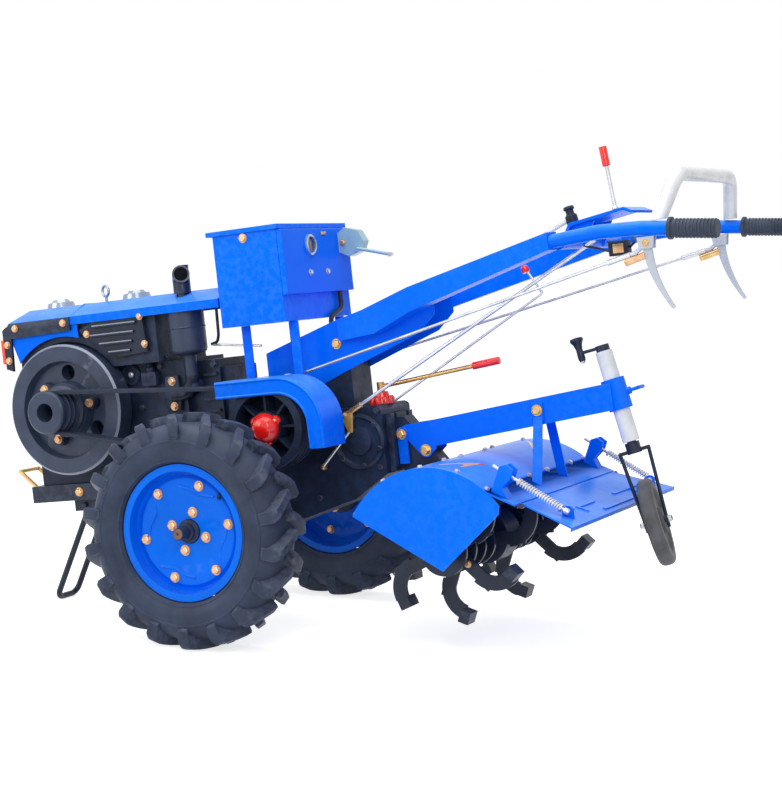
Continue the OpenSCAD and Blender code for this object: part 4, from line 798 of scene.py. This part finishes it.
# engine: nose strips and bolts, hood seam, painted highlight strips on the grille edges
noseTrim = {
    "noseStrips": (addForms, "blackPaint", sideSlabs(
        [[(470, 525), (470, 561), (662, 561), (684, 550), (691, 544), (691, 519)]], 135.2, 140), 0.8),
    "noseBolts": (addBolts, "copperZinc", mirrored(heads([
        (647, 140, 547), (490, 140, 547), (679, 139, 505), (678, 139, 462),
        (252, 131, 541), (424, 131, 510), (246, 131, 468)]))),
    "hoodSeam": (addBars, "bluePaint", [[(470, -134, 561), (470, -60, 592), (470, 60, 592), (470, 134, 561)]], 4, 6),
    # pale strips along the grille slats' top edges: painted highlights
    "grilleEdges": (addForms, "wornEdge", sideSlabs(
        [[(x, z), (x, z + 3), (x + long, z + 3), (x + long, z)]
         for x, z, long in ((266, 528, 136), (274, 504, 136), (282, 480, 102), (290, 456, 68))], 136.8, 137.6)),
}

# flywheel: a painted highlight ring on its edge, and the bolted pads between its holes
crankSet = {"at": (509, 316), "ring": 82, "angles": (46, 171, 292), "padBase": 125, "padTop": 149}


def onCrank(y):
    return aroundAxis(crankSet["at"], y, crankSet["ring"], crankSet["angles"])


crankTrim = {
    # pale ring on the flywheel rim: a painted highlight
    "flywheelEdge": (addForms, "wornEdge", [
        (spun, (509, 0, 316), toLeft, [(169.6, 149.6), (169.8, 150.4), (175.4, 144.9), (175, 144.4), (169.6, 149.6)], 72)]),
    "pulleyPads": (addForms, "blackCasting", [
        (spun, p, toLeft, [(0, 0), (19, 0), (17, 22), (15, 24), (0, 24)]) for p in onCrank(crankSet["padBase"])]),
    "pulleyBolts": (addBolts, "copperZinc", heads(onCrank(crankSet["padTop"]), 1.25)),
}

# engine's left side: exhaust, oil filler, fuel pump and pipes, head and rail bolts
sideTrim = {
    "exhaustFlange": (addForms, "blackCasting", [
        (prism, [(186, 284), (224, 284), (232, 330), (224, 376), (186, 376), (180, 330)], 75.2, 86)], 2),
    "exhaustElbow": (addBars, "blackPaint", [[(146, 77, 372), (146, 77, 336), (180, 78, 326), (206, 84, 326)]], 37, 40, 24),
    "exhaustOutlet": (addBars, "blackPaint", [[(146, 77, 588), (146, 77, 626), (141, 85, 635), (130, 101, 638)]], 46, 30, 24),
    # near-black disc in the pipe's mouth: soot plus painted shade of the hollow inside
    "exhaustMouth": (addForms, "sootBlack", [
        (spun, (130.4, 100.4, 638), (-0.55, 0.82, 0.15), [(0, 0), (18, 0), (18, 1.6), (0, 1.6)])]),
    "exhaustBolts": (addBolts, "copperZinc", heads([(204, 86, 362), (204, 86, 296)], 1.15)),
    "oilFiller": (addForms, "blackCasting", [
        (spun, (334, 74, 390), toLeft, [(0, 0), (29, 0), (29, 5), (25, 9), (20, 9), (18, 5), (0, 5)])]),
    "oilFillerBolt": (addBolts, "bareSteel", heads([(334, 78, 390)], 0.8)),
    "fuelPump": (addForms, "blackCasting", [
        (brick, (244, 74, 356), (290, 100, 392)),
        (spun, (267, 86, 390), toTop, [(0, 0), (13, 0), (13, 14), (9, 16), (9, 30), (5, 32), (0, 32)])], 2),
    "fuelPipes": (addBars, "blackPaint", [
        [(267, 86, 418), (267, 86, 436), (226, 84, 446), (210, 84, 424), (196, 60, 410)],
        [(60, 60, 540), (62, 60, 470), (70, 56, 452), (92, 50, 448)]], 8, 14),
    "headBolts": (addBolts, "blackPaint",
                  heads(atY(52.2, [(90, 396), (152, 396), (90, 206), (152, 206)]), 1.2)
                  + heads(atY(75.2, [(240, 404), (310, 300), (310, 200), (190, 190), (250, 190)]), 1.1)),
    "throttleRod": (addBars, "bareSteel", [[(82, 60, 446), (50, 66, 443), (-66, 66, 430)]], 6, 12),
    "railBolts": (addBolts, "yellowZinc", mirrored(
        heads([(534, 90.2, 90)], 1.25) + heads([(330, 90.2, 90), (110, 90.2, 90)]))),
}

# toolbox, gauge and control box
boxTrim = {
    "gaugeRing": (addForms, "capSteel", [(spun, (-227, 42, 672), toRear, [
        (21, 0), (26.5, 0), (26.5, 4), (23, 7), (20.6, 5), (20.6, 1), (21, 0)])]),
    "gaugeDial": (addForms, "gaugeFace", [
        (spun, (-223.4, 42, 672), toRear, [(0, 0), (20.6, 0), (20.6, 2.2), (12, 3.6), (0, 4.2)])]),
    "boxBolts": (addBolts, "copperZinc", mirrored(heads([(-113, 181.2, 703)], 1.2))),
    "panelBolts": (addBolts, "bareSteel", heads([(-224.2, 53, 602), (-224.2, -40, 602)], 0.85, toRear)),
    "panelClip": (addForms, "copperZinc", [(brick, (-228, -50, 697), (-224.2, -24, 705))], 1),
    "controlBolts": (addBolts, "copperZinc", heads([(-238, -117.8, 674)], 0.85)),
    "controlPin": (addForms, "bareSteel", [(spun, (-373, -114, 628), toLeft, [(0, -7), (6, -7), (6, 7), (0, 7)])]),
}

# clutch cap: three lobes with a bolt in each
capSet = {"at": (-145, 226), "ring": 33, "angles": (30, 150, 270), "lobeBase": 223, "lobeTop": 234.6}


def onCap(y):
    return aroundAxis(capSet["at"], y, capSet["ring"], capSet["angles"])


capTrim = {
    "capLobes": (addForms, "redPlastic", [
        (spun, p, toLeft, [(0, 0), (13, 0), (13, 7), (10, 11), (0, 12)]) for p in onCap(capSet["lobeBase"])]),
    "capBolts": (addBolts, "copperZinc", heads(onCap(capSet["lobeTop"]), 0.7)),
}

# belt guard's beads, gearbox fittings, rod links and the boot of the tiller lever
guardSet = {"bend": (-190, 226), "face": 246, "front": -22, "end": 168, "beads": (85, 120)}
bootSet = {"at": (-361, 250.4), "ring": 25, "pleats": 8}


def guardBead(r):
    (gx, gz), face = guardSet["bend"], guardSet["face"]
    arc = aroundAxis(guardSet["bend"], face, r, range(90, 181, 10))
    return [(guardSet["front"], face, gz + r)] + arc + [(gx - r, face, guardSet["end"])]


def bootPlaces():
    (x, z), r, count = bootSet["at"], bootSet["ring"], bootSet["pleats"]
    turns = [2 * math.pi * k / count for k in range(count)]
    return [(x + r * math.cos(a), r * math.sin(a), z) for a in turns]


driveTrim = {
    "guardBeads": (addBars, "bluePaint", [guardBead(r) for r in guardSet["beads"]], 7, 4),
    "coverBolts": (addBolts, "blackPaint", mirrored(heads(aroundAxis((-330, 165), 95.5, 62, range(20, 380, 60)), 0.8))),
    "gearboxBolts": (addBolts, "blackPaint", mirrored(heads(atY(85.2, [
        (-384, 238), (-250, 238), (-60, 238), (30, 170), (-200, 30), (-110, 0), (-380, 96)])))),
    "fillerCollar": (addForms, "bluePaint", [(spun, (-242, 66, 250), toTop, [
        (0, 0), (24, 0), (24, 4), (20, 5), (20, 14), (23, 16), (23, 22), (0, 22)])]),
    "fillerPlug": (addForms, "blackPaint", [
        (spun, (-242, 66, 272), toTop, [(0, 0), (13, 0), (13, 8), (9, 10), (0, 10)])]),
    "rodBracket": (addForms, "tanPlate", [
        (prism, [(-326, 240), (-294, 234), (-301, 206), (-311, 188), (-321, 190)], 101, 104)], 0.6),
    "linkRod": (addBars, "bareSteel", [[(-315, 106, 194), (-230, 106, 112)]], 8),
    "linkEnds": (addForms, "yellowZinc", [
        (spun, p, toLeft, [(0, -8), (7, -6), (9, 0), (7, 7), (4, 11), (0, 12)]) for p in atY(99, [(-226, 108), (-303, 234)])]),
    "linkPins": (addBars, "yellowZinc", [
        [(-226, 86, 108), (-226, 112, 108)], [(-303, 86, 234), (-303, 104, 234)], [(-314, 86, 194), (-314, 110, 194)]], 7),
    "bootPleats": (addForms, "redPlastic", [
        (spun, p, toTop, [(0, 0), (9, 0), (9, 12), (6, 18), (0, 20)]) for p in bootPlaces()]),
}

# rods and small fittings along the handles
handleTrim = {
    "longRod": (addBars, "bareSteel", [[(-1029, 150, 591), (-303, 96, 234)]], 9),
    "rodClevis": (addBars, "yellowZinc", [[(-350, 99.5, 257), (-306, 96.3, 235.5)]], 14),
    "thinRod": (addBars, "bareSteel", [
        [(-792, 0, 540), (-822, 0, 490), (-828, 0, 484), (-398, 0, 256), (-384, 0, 250)]], 6, 5),
    "pinKnob": (addForms, "redPlastic", [
        (spun, (-790, 0, 538), (0.35, 0, 0.94), [(0, 0), (9, 0), (10, 4), (9, 14), (5, 18), (0, 19)])]),
    "shiftJoint": (addForms, "blackPlastic", [(spun, (-925, 0, 636), (0.2, 0, 0.98), [
        (0, 0), (13, 0), (15, 6), (15, 24), (10, 30), (10, 38), (14, 42), (12, 48), (0, 50)])]),
    "shiftRod": (addBars, "bareSteel", [[(-918, 0, 652), (-763, 0, 588), (-560, 0, 527)]], 10, 30),
    "leftSleeve": (addBars, "copperZinc", [[(-1143, 283, 527.5), (-1192, 286, 539)]], 17),
    "rightSleeve": (addBars, "yellowZinc", [[(-1143, -283, 527.5), (-1192, -286, 539)]], 17),
    "switchBlock": (addForms, "blackPlastic", [(brick, (-1112, 140, 548), (-1064, 166, 582))], 2),
    "switchPlate": (addForms, "yellowZinc", [(brick, (-1102, 166, 554), (-1076, 169, 575))], 0.8),
    "switchCable": (addBars, "blackPlastic", [
        [(-1112, 152, 565), (-1140, 190, 575), (-1150, 236, 590)],
        [(-1064, 152, 560), (-1030, 150, 572), (-1000, 150, 580)]], 6, 20),
    "leverBolts": (addBolts, "yellowZinc", mirrored(heads([(-1198, 295.6, 566)], 0.8))),
    "frameBolts": (addBolts, "yellowZinc", mirrored(heads([(-280, 59.6, 414), (-209, 59.6, 308)], 1.35))),
}

# tiller: arm pins, cover bolts and stripes, springs, tine bolts, apron's hinge ends and lug bolts
tillerSet = {
    "middle": (-608, -120), "radius": 228, "stripeLift": (0.1, 0.5), "stripeSteps": 12,
    "armPins": [((-423, 39.4, 171), toLeft, 1.4), ((-484, 33.4, 126), toLeft, 1.5), ((-794, 38.4, 202), toLeft, 1.4)],
    "coverBolts": ((34, 322), (62, 322), (88, 322), (112, 322), (133, 322), (84, 150), (87, 76), (133, 222), (133, 60)),
    "coverBoltSize": 0.75,
    "yellow": [(95, 276), (110, 168), (111, 186), (108.6, 262)], "red": [(110, 168), (112.5, 152), (113, 168), (111, 186)],
    "rotor": (-615, -98), "rows": 4, "firstRow": 102, "rowStep": 57.33, "rowTurn": 67, "tineFace": 13.4,
    "tineBolts": (40, 56), "tineBoltSize": 0.95, "hinge": (-846, 2), "hingeY": (318.2, 326), "hingeBar": 12,
    "lugBolt": (-948, 289.8, -18), "lugBoltSize": 0.7,
}
springSet = {
    "foot": (-948, -18), "top": (-812, 76), "y": 306, "past": 40, "rod": 8,
    "ends": [(13, [(0, 0), (10, 0), (10, 4), (0, 4)]), (131, [(0, 0), (9, 0), (9, 3), (0, 3)]),
             (-8, [(0, 0), (6, 1), (8, 5), (8, 11), (6, 15), (0, 16)])],
    "pinStart": 18, "pin": [(0, 0), (4, 0), (4, 22), (0, 22)], "coilStart": 17,
    "coil": {"Turns": 17.0, "Radius": 0.0072, "Length": 0.114, "Wire": 0.0016},
}


def onCover(angle, y, lift=0):
    a = math.radians(angle)
    (cx, cz), r = tillerSet["middle"], tillerSet["radius"] + lift
    return (cx + r * math.cos(a), y, cz + r * math.sin(a))


def stripe(bm, corners, side):
    (a0, y0), (a1, y1), (a2, y2), (a3, y3) = [(angle, side * y) for angle, y in corners]
    rows = []
    for i in range(tillerSet["stripeSteps"] + 1):
        u = i / tillerSet["stripeSteps"]
        edges = ((a0 + (a1 - a0) * u, y0 + (y1 - y0) * u), (a3 + (a2 - a3) * u, y3 + (y2 - y3) * u))
        rows.append([bm.verts.new(spot(*onCover(a, y, lift))) for lift in tillerSet["stripeLift"] for a, y in edges])
    for here, there in zip(rows, rows[1:]):
        for i, j in ((0, 1), (1, 3), (3, 2), (2, 0)):
            bm.faces.new((here[i], here[j], there[j], there[i]))
    for row in (rows[0], rows[-1]):
        bm.faces.new((row[0], row[1], row[3], row[2]))


def addSpring(name, side):
    (fx, fz), (tx, tz), y = springSet["foot"], springSet["top"], side * springSet["y"]
    reach = math.hypot(tx - fx, tz - fz)
    ux, uz = (tx - fx) / reach, (tz - fz) / reach
    body, way = "spring_" + name, (ux, 0, uz)

    def along(t):
        return (fx + ux * t, y, fz + uz * t)

    rod = [along(0), along(reach + springSet["past"])]
    addBars("springRod." + name, body, "bareSteel", [rod], springSet["rod"], stands=["spring_rod_" + name])
    ends = [(spun, along(t), way, profile) for t, profile in springSet["ends"]]
    pin = (spun, (fx, side * (springSet["y"] - springSet["pinStart"]), fz), (0, side, 0), springSet["pin"])
    addForms("springEnds." + name, body, "bareSteel", ends + [pin])
    coil = runTree(coils, bpy.data.meshes.new("coilSeed"), {**springSet["coil"], "Finish": finish["whitePlate"]})
    turn = Vector(toTop).rotation_difference(heading(*way)).to_matrix().to_4x4()
    coil.transform(Matrix.Translation(spot(*along(springSet["coilStart"]))) @ turn)
    addPiece("springCoil." + name, roundShade(coil, trimShade["coils"]), body, "whitePlate")


def tineHeads():
    places = []
    rx, rz = tillerSet["rotor"]
    for side in (1, -1):
        for row in range(tillerSet["rows"]):
            for k, out in ((0, 1), (1, -1)):
                a = math.radians(row * tillerSet["rowTurn"] + k * 180)
                y = tillerSet["firstRow"] + row * tillerSet["rowStep"] + out * tillerSet["tineFace"]
                points = [(rx + r * math.cos(a), side * y, rz - r * math.sin(a)) for r in tillerSet["tineBolts"]]
                places += heads(points, tillerSet["tineBoltSize"], (0, side * out, 0))
    return places


def addTillerTrim():
    addBolts("armBolts", "chassis", "yellowZinc", mirrored(tillerSet["armPins"]))
    edge = []
    for angle, y in tillerSet["coverBolts"]:
        a = math.radians(angle)
        edge.append((onCover(angle, y), (math.cos(a), 0, math.sin(a)), tillerSet["coverBoltSize"]))
    addBolts("coverEdgeBolts", "chassis", "bareSteel", mirrored(edge))
    for key in ("yellow", "red"):
        addForms(key + "Stripes", "chassis", key + "Stripe", [(stripe, tillerSet[key], side) for side in (1, -1)])
    for name, side in flanks:
        addSpring(name, side)
    addBolts("tineBolts", "rotor", "copperZinc", tineHeads())
    x, z = tillerSet["hinge"]
    ends = [[(x, side * y, z) for y in tillerSet["hingeY"]] for side in (1, -1)]
    addBars("hingeEnds", "apron", "blackPaint", ends, tillerSet["hingeBar"])
    x, y, z = tillerSet["lugBolt"]
    lugs = [((x, side * y, z), (0, -side, 0), tillerSet["lugBoltSize"]) for side in (1, -1)]
    addBolts("lugBolts", "apron", "bareSteel", lugs)


# tail wheel nuts and the crank's nut
tailSet = {"top": (-966, 0, 328), "tilt": 11.8, "turn": 104, "drop": 428, "nutFace": 30.2, "nutSize": 1.05,
           "crankNut": (58, 0, -8), "crankNutSize": 0.7}


def addTailTrim():
    post = Matrix.Translation(tailSet["top"]) @ Matrix.Rotation(math.radians(tailSet["tilt"]), 4, "Y")
    fork = post @ Matrix.Rotation(math.radians(tailSet["turn"]), 4, "Z")
    nuts = []
    for side in (1, -1):
        at = fork @ Vector((0, side * tailSet["nutFace"], -tailSet["drop"]))
        way = fork.to_3x3() @ Vector((0, side, 0))
        nuts.append((tuple(at), tuple(way), tailSet["nutSize"]))
    addBolts("tailNuts", "tail_wheel", "bareSteel", nuts)
    foot, down = post @ Vector(tailSet["crankNut"]), post.to_3x3() @ Vector((0, 0, -1))
    addBolts("crankNut", "chassis", "bareSteel", [(tuple(foot), tuple(down), tailSet["crankNutSize"])])


for name, side in flanks:
    addWheelTrim(name, side)
addSet(noseTrim)
addSet(crankTrim, "crank")
addSet(sideTrim)
print("wheels and engine trimmed")
addSet(boxTrim)
addSet(capTrim, "clutch")
addSet(driveTrim)
addSet(handleTrim)
addTillerTrim()
addTailTrim()
print("all trim made")
